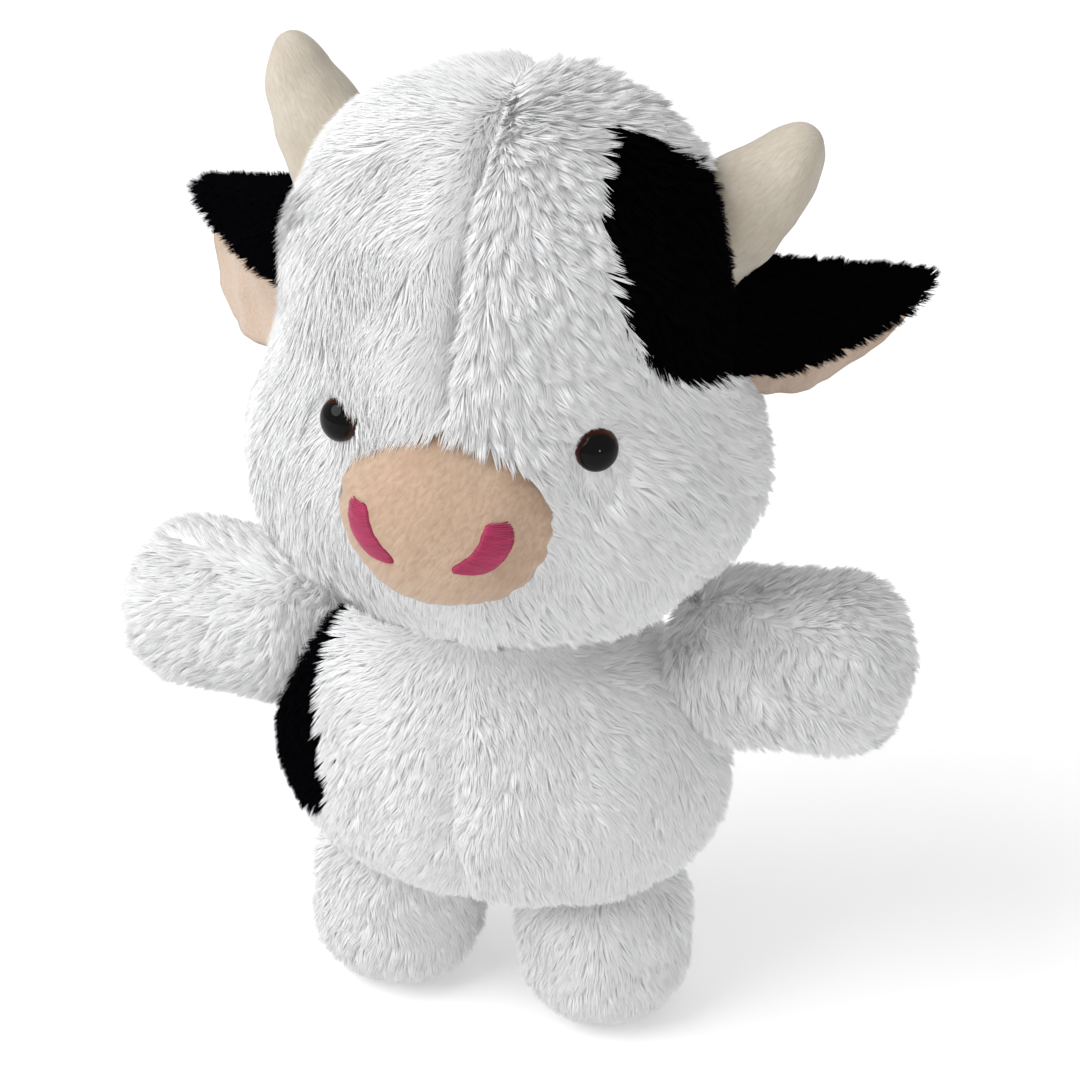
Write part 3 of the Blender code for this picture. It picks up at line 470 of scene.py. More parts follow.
def pileObject(name, strands, chosen, look, material):
    # each strand is a spike: three corners about its root and its tip, closed below
    curve, outward, soft = (strands[key][chosen] for key in ("curve", "normal", "soft"))
    count = len(curve)
    ahead = unit(curve[:, 1] - curve[:, 0])
    side = unit(np.cross(ahead, outward))
    up = np.cross(ahead, side)
    angles = np.radians([270, 30, 150])
    radial = (side[:, None, :] * np.cos(angles)[None, :, None]
              + up[:, None, :] * (np.sin(angles) * look["flat"])[None, :, None])
    radius = (strands["width"][chosen] / 2)[:, None, None]
    points = np.concatenate([curve[:, :1] + radial * radius, curve[:, 1:]], axis=1)
    corners = np.array([0, 1, 3, 1, 2, 3, 2, 0, 3, 2, 1, 0])
    loops = (np.arange(count)[:, None] * 4 + corners).ravel()
    mesh = bpy.data.meshes.new(name)
    mesh.vertices.add(count * 4)
    mesh.vertices.foreach_set("co", points.reshape(-1).astype(np.float32))
    mesh.loops.add(len(loops))
    mesh.loops.foreach_set("vertex_index", loops.astype(np.int32))
    mesh.polygons.add(count * 4)
    mesh.polygons.foreach_set("loop_start", np.arange(0, len(loops), 3, dtype=np.int32))
    mesh.update(calc_edges=True)
    # tone of the lock, and 0 at the root to 1 at the tip, which the material turns into painted shade at the
    # root
    shade = np.zeros((count, 4, 3), dtype=np.float32)
    shade[:, :, 0] = strands["tone"][chosen][:, None]
    shade[:, 3, 1] = 1
    attribute = mesh.attributes.new("pile", "FLOAT_VECTOR", "POINT")
    attribute.data.foreach_set("vector", shade.ravel())
    item = linkedObject(name, mesh, [material])
    facing = np.concatenate([radial, ahead[:, None, :]], axis=1)
    facing = unit(facing * (1 - look["softness"]) + soft[:, None, :] * look["softness"])
    mesh.normals_split_custom_set_from_vertices(facing.reshape(-1, 3).tolist())
    return item


def placeStrands(strands, matrix):
    strands["curve"] = moved(strands["curve"], matrix)
    for key in ("normal", "soft"):
        strands[key] = turned(strands[key], matrix)


def pilePanels(strands, look, body, panels):
    for name, chosen, material, node in panels:
        item = pileObject(name, strands, chosen, look, material)
        declare(item, body, node)
        print(name, int(chosen.sum()))


def backingObject(name, grid, pose, patchOf, body):
    # the knitted cloth under the pile, black where the patch is
    item = closedObject(name, grid, pose, (whiteBacking, blackBacking))
    if patchOf is not None:
        inside = patchOf(grid.reshape(-1, 3)).reshape(grid.shape[:2])
        rows, columns = grid.shape[0] - 2, grid.shape[1]
        slots = np.zeros(len(item.data.polygons), dtype=np.int32)
        slots[:(rows - 1) * columns] = inside[1:-2].ravel()
        item.data.polygons.foreach_set("material_index", slots)
    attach(item, body)
    return item


def insideOutline(points, outline):
    # crossing count of a ray through a smooth closed outline
    knots = np.array(outline, dtype=float)
    loop = []
    for i in range(len(knots)):
        p0, p1, p2, p3 = (knots[(i + k) % len(knots)] for k in (-1, 0, 1, 2))
        t = np.linspace(0, 1, 6, endpoint=False)[:, None]
        loop.append((p1 * 2 + (p2 - p0) * t + (p0 * 2 - p1 * 5 + p2 * 4 - p3) * t ** 2
                     + (p1 * 3 - p0 - p2 * 3 + p3) * t ** 3) / 2)
    loop = np.concatenate(loop)
    after = np.roll(loop, -1, axis=0)
    x, y = points[:, :1], points[:, 1:]
    rise = after[:, 1] - loop[:, 1]
    rise = np.where(np.abs(rise) < 1e-9, 1e-9, rise)
    crosses = ((loop[:, 1] > y) != (after[:, 1] > y)) & (
        x < loop[:, 0] + (y - loop[:, 1]) / rise * (after[:, 0] - loop[:, 0]))
    return crosses.sum(axis=1) % 2 == 1


def directionsFrom(points, centre):
    # degrees to the cow's left of straight ahead, and degrees up
    away = points - centre
    level = np.hypot(away[:, 0], away[:, 1])
    return np.degrees(np.stack([np.arctan2(away[:, 0], -away[:, 1]), np.arctan2(away[:, 2], level)], -1))


def ofSide(look, name, side):
    # a value that differs between the cow's left and its right
    return look["left" + name if side > 0 else "right" + name]


# Head

headLook = dict(width=0.155, depth=0.134, height=0.158, centre=np.array([0, -0.0045, 0.219]), taper=0.163,
                fullness=0.70, waist=0.17, waistRise=0.09, waistSpread=0.39, turn=3.0, tilt=2.0,
                shift=0.0045, sideSeam=0.011, seamWidth=0.004, inset=0.0039, swell=0.0011, valley=0.0042,
                valleyWidth=0.0030, valleyFront=(-0.035, 0.0), valleyFoot=(2, 12), valleyTop=(66, 86),
                lump=0.0007, lumpSize=0.03, lumpSeed=5, rows=56, columns=80)
headPile = dict(whiteStrands, count=180000, locks=8200, length=0.0076, width=0.00076, lean=58, swirl=22,
                swirlSize=0.034, lockTurn=13, pull=0.58, round=0.5, lockLift=6, flatten=6, calm=0.12,
                tuftSide=(-0.006, 0.012), cheek=(0.165, 0.195), cheekTuft=0.6)
# the black patch: directions from the middle of the head, in degrees
headOutline = [(69, 68), (53, 62), (44, 52), (42, 38), (45, 28), (53, 17), (66, 9), (84, 4), (108, 2),
               (120, 20), (108, 42), (88, 52)]
# which way the pile lies; a pair is where an effect begins and is full, in metres or degrees
headLie = dict(front=(-0.02, 0.03), apart=(0.001, 0.030), leftAway=1.0, rightAway=0.35, crown=(38, 66),
               parting=(-0.002, 0.005), partingPull=1.3, ridge=(-0.030, 0.022), forward=0.6, backward=1.3,
               muzzleRise=0.010, muzzleRing=np.array([0.040, 0.03, 0.036]), ringEdge=1.05, underTop=0.012,
               eyePush=2.2, eyeRing=0.0095, stand=16, standRise=(0.3, 0.8), standRim=(1.0, 1.35))
# where the pile is short or bare: half widths and heights, radii and shares of the length
headTrim = dict(muzzleBare=(0.0285, 0.026), muzzleShort=(0.030, 0.0275), muzzleCut=0.45,
                besideRise=(0.1, 0.9), muzzleEdge=(1.0, 1.5), seamCut=0.45, eyeCut=0.68,
                eyeShort=(0.007, 0.015), eyeBare=0.0004, bridge=(-0.002, 0.003), hornBare=(0.0172, 0.0142),
                hornFoot=-0.03, hornShort=(0.016, 0.026), hornKept=0.6, chinShort=(62, 80), chinCut=0.45,
                patchKept=0.86, neckBare=0.022, neckTop=0.160)
muzzleLook = dict(width=0.060, height=0.055, depth=0.050, centre=np.array([0, -0.058, 0.19593]),
                  fullness=0.85, grain=-32.0, swell=0.0005, held=0.004, gathers=23, gather=0.0008,
                  rim=(0.009, 0.020), lump=0.0004, lumpSize=0.016, lumpSeed=8, inset=0.0004, rows=44,
                  columns=96)
eyeLook = dict(diameter=0.012, dome=0.0055, rim=0.0012, sink=0.0042, height=0.21742,
               leftTurn=37.3, rightTurn=29.0, stem=0.0018, stemEnd=-0.008, columns=40,
               leftPupil=(0.07, 0.07), rightPupil=(-0.10, 0.03))
hornLook = dict(width=0.036, depth=0.030, length=0.048, baseX=0.0434, baseY=0.0076, leftZ=0.249652,
                rightZ=0.25297, leftLean=60.0, rightLean=51.0, back=18.0, bend=0.26, swell=0.0005,
                inset=0.0004, lump=0.0006, lumpSize=0.014, lumpSeed=21, rows=34, columns=40)

headShift = Vector((headLook["shift"], 0, 0))
headPose = (Matrix.Translation(Vector(stance) + Vector(headLook["centre"]) + headShift)
            @ Matrix.Rotation(math.radians(headLook["turn"]), 4, "Z")
            @ Matrix.Rotation(math.radians(headLook["tilt"]), 4, "Y")
            @ Matrix.Translation(-Vector(headLook["centre"])))
bodyPose = Matrix.Translation(Vector(stance))


def headWaist(rise):
    # share of its width that the head keeps where the ears draw its sides in
    return 1 - headLook["waist"] * np.exp(-((rise - headLook["waistRise"]) / headLook["waistSpread"]) ** 2)


def eyePlace(side):
    # where the eye's axis crosses the outside of the head, and where it looks
    look = headLook
    rise = (eyeLook["height"] - look["centre"][2]) / (look["height"] / 2)
    share = math.sqrt(1 - rise * rise) ** look["fullness"] * (1 - look["taper"] * rise)
    angle = math.radians(ofSide(eyeLook, "Turn", side))
    waist = headWaist(rise)
    wide, deep = look["width"] / 2 * share * waist, look["depth"] / 2 * share
    ahead = look["centre"][1] - deep * math.cos(angle)
    point = np.array([side * wide * math.sin(angle), ahead, eyeLook["height"]])
    narrowing = look["fullness"] * rise / (1 - rise * rise) + look["taper"] / (1 - look["taper"] * rise)
    away = (rise - look["waistRise"]) / look["waistSpread"]
    narrowing -= math.sin(angle) ** 2 * (1 / waist - 1) * 2 * away / look["waistSpread"]
    slope = narrowing / (look["height"] / 2)
    return point, unit(np.array([side * math.sin(angle) / wide, -math.cos(angle) / deep, slope]))


def headValley(points):
    # depth of the middle seam from the crown down to the muzzle, on the front only
    look = headLook
    angles = directionsFrom(points, look["centre"])
    front = smoothStep(-points[:, 1], *look["valleyFront"])
    span = smoothStep(angles[:, 1], *look["valleyFoot"]) * (1 - smoothStep(angles[:, 1], *look["valleyTop"]))
    return np.exp(-(points[:, 0] / look["valleyWidth"]) ** 2) * front * span


def dented(points, look, valley):
    # the sunk seam, less the lumps in the stuffing
    return look["valley"] * valley - look["lump"] * ripple(points, look["lumpSize"], look["lumpSeed"])


def inPatch(points, look, centre, outline):
    # inside the black patch's outline and in front of the side seam
    return insideOutline(directionsFrom(points, centre), outline) & (points[:, 1] < look["sideSeam"])


def headSkin(inset):
    # ring size is the sine of the turn to a power, less the taper, with the sides drawn in at the ears
    look = headLook
    turns = np.linspace(0, np.pi, look["rows"])
    share = np.sin(turns) ** look["fullness"] * (1 - look["taper"] * np.cos(turns))
    share[[0, -1]] = 0
    centres = look["centre"] + axisZ * ((look["height"] / 2 - inset) * np.cos(turns))[:, None]
    wide = (look["width"] / 2 * headWaist(np.cos(turns)) - inset) * share
    return gridFrom(centres, wide, (look["depth"] / 2 - inset) * share, axisX, axisY, look["columns"])


def seamsHeld(grid, sideSeam, width, share=1):
    # 1 on the side seams and the share on the middle seam, falling away within the width
    middle = np.exp(-(grid[..., 0] / width) ** 2) * share
    return np.maximum(middle, np.exp(-((grid[..., 1] - sideSeam) / width) ** 2))


def aroundAxis(azimuth):
    return np.stack([np.cos(azimuth), np.sin(azimuth), np.zeros(len(azimuth))], -1)


def headComb(points):
    # down, forwards on the face and backwards behind the ridge, and away from the middle seam: a little
    # on the face, more on the cow's left, most on the crown. It also turns away from the muzzle and the eyes
    look = headLie
    angles = directionsFrom(points, headLook["centre"])
    around = aroundAxis(np.radians(angles[:, 0]))
    off = np.abs(points[:, 0])
    front = smoothStep(-points[:, 1], *look["front"])
    crown = smoothStep(angles[:, 1], *look["crown"])
    parted = np.sign(points[:, 0]) * smoothStep(off, *look["parting"]) * crown
    away = np.where(points[:, 0] > 0, look["leftAway"], look["rightAway"])
    sideways = away * front * smoothStep(off, *look["apart"])
    ridge = smoothStep(points[:, 1], *look["ridge"])
    comb = (-axisZ - axisY * (look["forward"] - look["backward"] * ridge)[:, None]
            + around * (sideways * (1 - crown))[:, None])
    comb = comb + axisX * (parted * look["partingPull"])[:, None]
    away = points - (muzzleLook["centre"] + np.array([0, 0, look["muzzleRise"]]))
    near = np.exp(-(np.linalg.norm(away / look["muzzleRing"], axis=1) / look["ringEdge"]) ** 4)
    near = near * (1 - smoothStep(away[:, 2], 0.0, look["underTop"]))
    comb = comb + unit(away * np.array([1, 0.2, 1])) * near[:, None]
    for side in (1, -1):
        away = points - eyePlace(side)[0]
        distance = np.linalg.norm(away, axis=1)
        comb = comb + unit(away) * (look["eyePush"] * np.exp(-(distance / look["eyeRing"]) ** 2))[:, None]
    return comb


def headTuft(points):
    # clear locks on the cow's left of the face and on the cheeks, smooth pile on the other side
    look = headPile
    side = smoothStep(points[:, 0], *look["tuftSide"])
    low = 1 - smoothStep(points[:, 2], *look["cheek"])
    return look["calm"] + (1 - look["calm"]) * np.maximum(side, low * look["cheekTuft"])


def hornAxes(side):
    out = math.radians(ofSide(hornLook, "Lean", side))
    back = math.radians(hornLook["back"])
    along = np.array([side * math.sin(out), math.cos(out) * math.sin(back), math.cos(out) * math.cos(back)])
    across = unit(np.cross(along, axisY))
    return along, across, unit(np.cross(along, across))


def hornBase(side):
    return np.array([side * hornLook["baseX"], hornLook["baseY"], ofSide(hornLook, "Z", side)])


def fromMuzzle(points, half):
    # rise from the muzzle's middle and distance from it, seen from the front, in shares of the half sizes
    away = (points - muzzleLook["centre"]) / np.array([half[0], 1.0, half[1]])
    return away[:, 2], np.hypot(away[:, 0], away[:, 2])


def headLength(points):
    # shorter at the seam, the eyes, the muzzle, the horns, under the chin and on the patch
    look = headTrim
    share = 1 - look["seamCut"] * headValley(points)
    for side in (1, -1):
        point = eyePlace(side)[0]
        cut = look["eyeCut"]
        if side < 0:
            cut = cut * smoothStep(point[0] - points[:, 0], *look["bridge"])
        distance = np.linalg.norm(points - point, axis=1)
        share = share * (1 - cut * (1 - smoothStep(distance, *look["eyeShort"])))
        along = hornAxes(side)[0]
        away = points - hornBase(side)
        radial = np.linalg.norm(away - along * (away @ along)[:, None], axis=1)
        share = share * (look["hornKept"] + (1 - look["hornKept"]) * smoothStep(radial, *look["hornShort"]))
    rise, distance = fromMuzzle(points, look["muzzleShort"])
    beside = look["muzzleCut"] * (1 - smoothStep(rise, *look["besideRise"]))
    share = share * (1 - beside * (1 - smoothStep(distance, *look["muzzleEdge"])))
    angles = directionsFrom(points, headLook["centre"])
    share = share * (1 - look["chinCut"] * smoothStep(-angles[:, 1], *look["chinShort"]))
    return share * np.where(insideOutline(angles, headOutline), look["patchKept"], 1.0)


def headKeep(points):
    # bare where the muzzle, eyes, horns and neck are
    look = headTrim
    distance = fromMuzzle(points, look["muzzleBare"])[1]
    keep = ~((distance < 1) & (points[:, 1] < 0))
    for side in (1, -1):
        distance = np.linalg.norm(points - eyePlace(side)[0], axis=1)
        keep &= distance > eyeLook["diameter"] / 2 + look["eyeBare"]
        along, across, up = hornAxes(side)
        away = points - hornBase(side)
        radial = np.hypot(away @ across / look["hornBare"][0], away @ up / look["hornBare"][1])
        keep &= ~((radial < 1) & (away @ along > look["hornFoot"]))
    neck = (points[:, 2] < look["neckTop"]) & (np.hypot(points[:, 0], points[:, 1]) < look["neckBare"])
    return keep & ~neck


def headStand(points):
    # degrees that the pile stands up over the muzzle's top edge
    rise, rim = fromMuzzle(points, headTrim["muzzleShort"])
    over = smoothStep(rise, *headLie["standRise"]) * (1 - smoothStep(rim, *headLie["standRim"]))
    return headLie["stand"] * over * (points[:, 1] < 0)


def clearOfMuzzle(curve, gap=0.0008):
    # tips that would end inside the muzzle are laid on its outside
    half = np.array([muzzleLook["width"], muzzleLook["depth"], muzzleLook["height"]]) / 2 + gap
    away = (curve[:, 1:] - muzzleLook["centre"]) / half
    far = np.linalg.norm(away, axis=2, keepdims=True)
    laid = muzzleLook["centre"] + away / np.maximum(far, 0.3) * half
    curve[:, 1:] = np.where(far < 1, laid, curve[:, 1:])


def headPatch(points):
    return inPatch(points, headLook, headLook["centre"], headOutline)


headGrid = headSkin(headLook["inset"])
headHeld = seamsHeld(headGrid, headLook["sideSeam"], headLook["seamWidth"])
headGrid = puffUp(headGrid, headHeld, headLook["swell"])
headGrid = shaped(headGrid, lambda p: dented(p, headLook, headValley(p)))
print("head skin puffed")
backingObject("headBacking", headGrid, headPose, headPatch, "head")
strands = growPile(headGrid, headPile, 11, headComb, headLength, headKeep, headTuft, headStand)
clearOfMuzzle(strands["curve"])
root = strands["root"]
patch = headPatch(root)
front = root[:, 1] < headLook["sideSeam"]
left = root[:, 0] > 0
placeStrands(strands, headPose)
pilePanels(strands, headPile, "head", (
    ("headFrontLeftPile", front & left & ~patch, whitePile, "head_front_left_panel"),
    ("headFrontRightPile", front & ~left & ~patch, whitePile, "head_front_right_panel"),
    ("headBackLeftPile", ~front & left, whitePile, "head_back_left_panel"),
    ("headBackRightPile", ~front & ~left, whitePile, "head_back_right_panel"),
    ("headBlackPatchPile", patch, blackPile, "head_black_patch")))
print("head pile grown:", len(root))


# Muzzle, with gathers where it is sewn in

def muzzleGrid(look):
    half = [look[key] / 2 - look["inset"] for key in ("depth", "width", "height")]
    return eggGrid(look["centre"], half, -axisY, axisX, axisZ, 0.0, look["fullness"], look["rows"],
                   look["columns"])


def muzzleGathers(points):
    # small folds that run away from the seam, deepest at the rim
    look = muzzleLook
    away = points - look["centre"]
    turn = np.arctan2(away[:, 2], away[:, 0])
    rim = 1 - smoothStep(-away[:, 1], *look["rim"])
    waves = np.sin(turn * look["gathers"] + 1.3 * np.sin(turn * 5)) * 0.5 + 0.5
    lumps = look["lump"] * ripple(points, look["lumpSize"], look["lumpSeed"])
    return rim * waves ** 2 * look["gather"] - lumps


cloth = muzzleGrid(muzzleLook)
seam = muzzleLook["centre"][1]
held = smoothStep(cloth[..., 1], seam - muzzleLook["held"], seam + muzzleLook["held"])
cloth = shaped(puffUp(cloth, held, muzzleLook["swell"]), muzzleGathers)
flat = skinValues(cloth)
slant = math.radians(muzzleLook["grain"])
grain = np.stack([flat[:, 0] * math.cos(slant) + flat[:, 2] * math.sin(slant),
                  flat[:, 2] * math.cos(slant) - flat[:, 0] * math.sin(slant) + flat[:, 1]], -1)
muzzle = closedObject("muzzleCover", cloth, headPose, [beigeMinky], grain)
declare(muzzle, "head", "muzzle_cover")
print("muzzle made")


# Nostrils, satin stitched

nostrilLook = dict(spacing=0.0286, length=0.0172, width=0.0068, centreX=-0.0006, centreZ=0.19613, tilt=32.0,
                   bend=-0.19, point=1.12, margin=0.0003, slant=0.0010, stitches=46, knots=9, thread=0.00056,
                   threadSides=6, rise=0.0009, sink=0.0003)


def muzzleFront(x, z):
    # y of the muzzle cloth at a place seen from the front, from its six nearest points
    skin = cloth.reshape(-1, 3)
    skin = skin[skin[:, 1] < muzzleLook["centre"][1]]
    far = np.hypot(x[..., None] - skin[:, 0], z[..., None] - skin[:, 2])
    near = np.argsort(far, axis=-1)[..., :6]
    weight = 1 / (np.take_along_axis(far, near, -1) + 0.0002) ** 2
    return (skin[near, 1] * weight).sum(-1) / weight.sum(-1)


def stitchObject(name, side, material):
    # each stitch is a thread over the width of the bean, arched off the cloth
    look = nostrilLook
    around = look["threadSides"]
    tilt = math.radians(look["tilt"])
    t = np.linspace(-0.97, 0.97, look["stitches"])
    along = t * look["length"] / 2
    off = look["length"] * look["bend"] * (1 - t * t)
    share = (look["point"] + (1 - look["point"]) * (1 - t) / 2) * np.sqrt(1 - t ** 6)
    half = look["width"] / 2 * share + look["margin"]
    across = np.linspace(-1, 1, look["knots"])
    a = along[:, None] + (look["slant"] * across)[None, :]
    b = off[:, None] + half[:, None] * across[None, :]
    x = look["centreX"] + side * (look["spacing"] / 2 - a * math.sin(tilt) - b * math.cos(tilt))
    z = look["centreZ"] - a * math.cos(tilt) + b * math.sin(tilt)
    arch = look["rise"] * np.sqrt(np.clip(1 - across ** 4, 0, 1))[None, :] - look["sink"]
    path = np.stack([x, muzzleFront(x, z) - arch, z], -1)
    ahead = unit(np.gradient(path, axis=1))
    out = unit(np.broadcast_to(-axisY, path.shape) - ahead * (ahead * -axisY).sum(-1, keepdims=True))
    sideways = np.cross(ahead, out)
    angles = np.radians(np.arange(around) * 360 / around)
    ring = (sideways[:, :, None, :] * np.cos(angles)[None, None, :, None]
            + out[:, :, None, :] * np.sin(angles)[None, None, :, None]) * look["thread"] / 2
    points = (path[:, :, None, :] + ring).reshape(-1, 3)
    corner = np.arange(around)
    after = np.roll(corner, -1)
    tube = np.stack([corner, after, after + around, corner + around], -1)
    faces = []
    for first in range(0, len(points), look["knots"] * around):
        last = first + (look["knots"] - 1) * around
        for base in range(first, last, around):
            faces += (tube + base).tolist()
        faces += [(corner[::-1] + first).tolist(), (corner + last).tolist()]
    item = meshObject(name, moved(points, headPose), faces, material)
    # the map runs along the bean and across it; the small turn about the thread keeps its sides apart
    addClothMap(item, np.stack(np.broadcast_arrays(
        angles[None, None, :] / 2000 + along[:, None, None],
        (half[:, None] * across[None, :])[:, :, None]), -1).reshape(-1, 2))
    return item


for side, label in sides:
    item = stitchObject("nostril" + label, side, magentaThread)
    declare(item, "head", "nostril_" + label.lower())
print("nostrils stitched")


# Eyes

def eyeMaterial():
    material, tree, shader = newMaterial("eyePlastic", (0.01, 0.006, 0.004), 0.05, Specular_IOR_Level=0.14)
    place = addNode(tree, "ShaderNodeUVMap", uv_map="clothMap").outputs["UV"]
    split = addNode(tree, "ShaderNodeSeparateXYZ", {0: place})
    # black pupil, brown ring, dark rim
    ring = addRamp(tree, split.outputs[0], [
        (0.0, (0.003, 0.003, 0.003)), (0.74, (0.003, 0.003, 0.003)), (0.81, (0.050, 0.014, 0.007)),
        (0.90, (0.085, 0.024, 0.011)), (0.955, (0.012, 0.004, 0.003)), (1.0, (0.004, 0.003, 0.003))])
    rays = addNode(tree, "ShaderNodeTexNoise", {"Vector": place, "Scale": 14.0})
    feed(tree, shader.inputs["Base Color"], mixColour(tree, "MULTIPLY", 0.35, ring, rays.outputs["Color"]))
    return material


def eyeObject(name, side, material):
    # a turned profile: stem end, stem, flat back, rim and dome
    look = eyeLook
    point, outward = eyePlace(side)
    back = point - outward * look["sink"]
    radius = look["diameter"] / 2
    profile = [(0, look["stemEnd"]), (look["stem"], look["stemEnd"]), (look["stem"], -0.0002),
               (look["stem"] + 0.0001, 0.0), (radius * 0.97, 0.0), (radius, 0.0003)]
    profile += [(radius * math.cos(a), look["rim"] + (look["dome"] - look["rim"]) * math.sin(a))
                for a in np.radians(np.linspace(0, 90, 13))]
    profile = np.array(profile)
    across = unit(np.cross(outward, axisZ))
    up = np.cross(outward, across)
    centres = back + outward * profile[:, 1:2]
    grid = gridFrom(centres, profile[:, 0], profile[:, 0], across, up, look["columns"])
    grid[-1] = centres[-1]
    # distance from the pupil, which sits a little off the middle of the dome
    apart = (grid - centres[:, None, :]) / radius
    pupil = ofSide(look, "Pupil", side)
    share = np.hypot(apart @ across - pupil[0], apart @ up - pupil[1]) * 0.9
    angle = np.abs(np.linspace(-1, 1, look["columns"], endpoint=False))[None, :]
    pairs = np.stack(np.broadcast_arrays(share, angle), -1)
    item = closedObject(name, grid, headPose, [material], skinValues(pairs))
    item.data.set_sharp_from_angle(angle=math.radians(50))
    return item


eyePlastic = eyeMaterial()
for side, label in sides:
    item = eyeObject("eye" + label, side, eyePlastic)
    declare(item, "head", "eye_" + label.lower())
print("eyes made")


# Horns

def hornGrid(side, look):
    # blunt cone whose line bends upwards, with a slack place half way
    along, across, up = hornAxes(side)
    inset = look["inset"]
    # the reach where the blunt end begins, and the horn's share of its width there
    shoulder, shoulderWidth = 0.72, 0.65
    knots = [-0.17, 0.0, 0.25, 0.5, shoulder, 0.88, 0.97, 1.0]
    widths = [0.80, 1.0, 0.93, 0.81, shoulderWidth, 0.50, 0.36, 0.0]
    straight = np.linspace(-0.15, 0.8, look["rows"] - 12)
    blunt = 0.8 + 0.2 * np.sin(np.linspace(0.12, np.pi / 2, 11))
    reach = np.concatenate([[-0.17], straight, blunt])
    share = np.interp(reach, knots, widths)
    end = np.clip((reach - shoulder) / 0.28, 0, 1)
    share = np.where(reach > shoulder, shoulderWidth * (1 - end ** 1.7) ** 0.6, share)
    share[[0, -1]] = 0
    length = look["length"] - inset
    upward = unit(axisZ - along * along[2]) * length * look["bend"]
    centres = (hornBase(side) + along * (reach * length)[:, None]
               + upward * (np.clip(reach, 0, 1) ** 2)[:, None])
    return gridFrom(centres, share * (look["width"] / 2 - inset), share * (look["depth"] / 2 - inset),
                    across, up, look["columns"])


for side, label in sides:
    cloth = hornGrid(side, hornLook)
    # held where it is sewn to the head, and mostly along its two seams
    held = np.zeros(cloth.shape[:2])
    held[:6] = 1.0
    held[:, [0, hornLook["columns"] // 2]] = 0.7
    cloth = puffUp(cloth, held, hornLook["swell"])
    lumpSeed = hornLook["lumpSeed"] + side
    cloth = shaped(cloth, lambda p: hornLook["lump"] * ripple(p, hornLook["lumpSize"], lumpSeed))
    item = closedObject("horn" + label, cloth, headPose, [creamMinky])
    declare(item, "head", f"horn_{label.lower()}_cover")
print("horns made")


# Ears

earLook = dict(leftLength=0.056, rightLength=0.055, leftBackFlap=0.034, rightBackFlap=0.045,
               leftFlap=0.027, rightFlap=0.0255, leftRaise=-12.0, rightRaise=-18.0, leftSkew=0.0,
               rightSkew=0.22, root=(0.062825, 0.011, 0.23085), sweep=38.0, foldRadius=0.008,
               foldTurn=165.0, foldLeast=0.0069, trim=0.0022, crease=0.0006, creases=260, ruffle=0.0004)
# each sheet: depths of its two faces behind the pile, start of its length, rows and columns
earSheets = dict(backing=(0.0018, 0.0038, -0.14, 26, 34), lining=(0.0043, 0.0056, -0.08, 40, 48))
earAlong = [0.0, 0.12, 0.28, 0.45, 0.62, 0.78, 0.90, 1.0]
# shares of the full back flap and front flap at those places
earBack = {1: [0.92, 0.97, 1.0, 0.96, 0.84, 0.62, 0.40, 0.16],
           -1: [0.92, 0.97, 1.0, 1.0, 0.99, 0.92, 0.80, 0.60]}
earFront = {1: [1.0, 0.95, 0.84, 0.70, 0.54, 0.38, 0.25, 0.10],
            -1: [1.0, 0.90, 0.74, 0.55, 0.37, 0.21, 0.09, 0.0]}
earPile = dict(count=24000, locks=1100, length=0.0042, width=0.00050, flat=0.5, lean=50, stray=0.2,
               pull=0.45, softness=0.45, lockLift=8, lift=5, flatten=0, lockStray=0.3, lockSpread=(0.85, 1.15),
               lengthSpread=(0.8, 1.15), pullSpread=(0.5, 1.1), widthSpread=(0.8, 1.2), tones=(0.4, 0.5))


def earAxes(side):
    sweep = math.radians(earLook["sweep"])
    lift = math.radians(ofSide(earLook, "Raise", side))
    level = math.cos(lift)
    outward = np.array([side * math.cos(sweep) * level, math.sin(sweep) * level, math.sin(lift)])
    forward = np.array([side * math.sin(sweep), -math.cos(sweep), 0])
    return outward, forward, unit(np.cross(forward, outward)) * side


def earGrid(side, depth, start, rows, columns):
    # rows run out along the ear; each row climbs the back flap, turns over the fold and hangs down in front
    outward, forward, upward = earAxes(side)
    root = np.array([side * earLook["root"][0], *earLook["root"][1:]])
    fullFlap = ofSide(earLook, "BackFlap", side)
    along = np.linspace(start, 1.0, rows)
    leaf = np.interp(along, earAlong, earBack[side])[:, None]
    backFlap = fullFlap * leaf
    foldTurn = math.radians(earLook["foldTurn"])
    fold = earLook["foldRadius"] * foldTurn * (1 + leaf) / 2
    fullTurn = np.minimum(foldTurn, fold / earLook["foldLeast"])
    frontFlap = ofSide(earLook, "Flap", side) * np.interp(along, earAlong, earFront[side])[:, None]
    run = (backFlap + fold + frontFlap - earLook["trim"]) * np.linspace(0, 1, columns)[None, :]
    turn = np.clip((run - backFlap) / fold, 0, 1) * fullTurn
    # each point lies a step on from the one before it, at the mean of their turns
    step = np.diff(run, axis=1, prepend=0.0)
    middle = (turn + np.roll(turn, 1, axis=1)) / 2
    middle[:, 0] = 0
    ahead = np.cumsum(np.sin(middle) * step, axis=1) - earLook["foldRadius"]
    rise = np.cumsum(np.cos(middle) * step, axis=1)
    rise = rise + fullFlap / 2 - rise.max(axis=1, keepdims=True)
    ahead = ahead + np.cos(turn) * depth
    rise = rise - np.sin(turn) * depth
    skew = ofSide(earLook, "Skew", side) * (fullFlap / 2 - rise)
    reach = along[:, None] * (ofSide(earLook, "Length", side) + skew)
    grid = root + outward * reach[..., None] + forward * ahead[..., None] + upward * rise[..., None]
    facing = -forward * np.cos(turn)[..., None] + upward * np.sin(turn)[..., None]
    return grid, facing, run


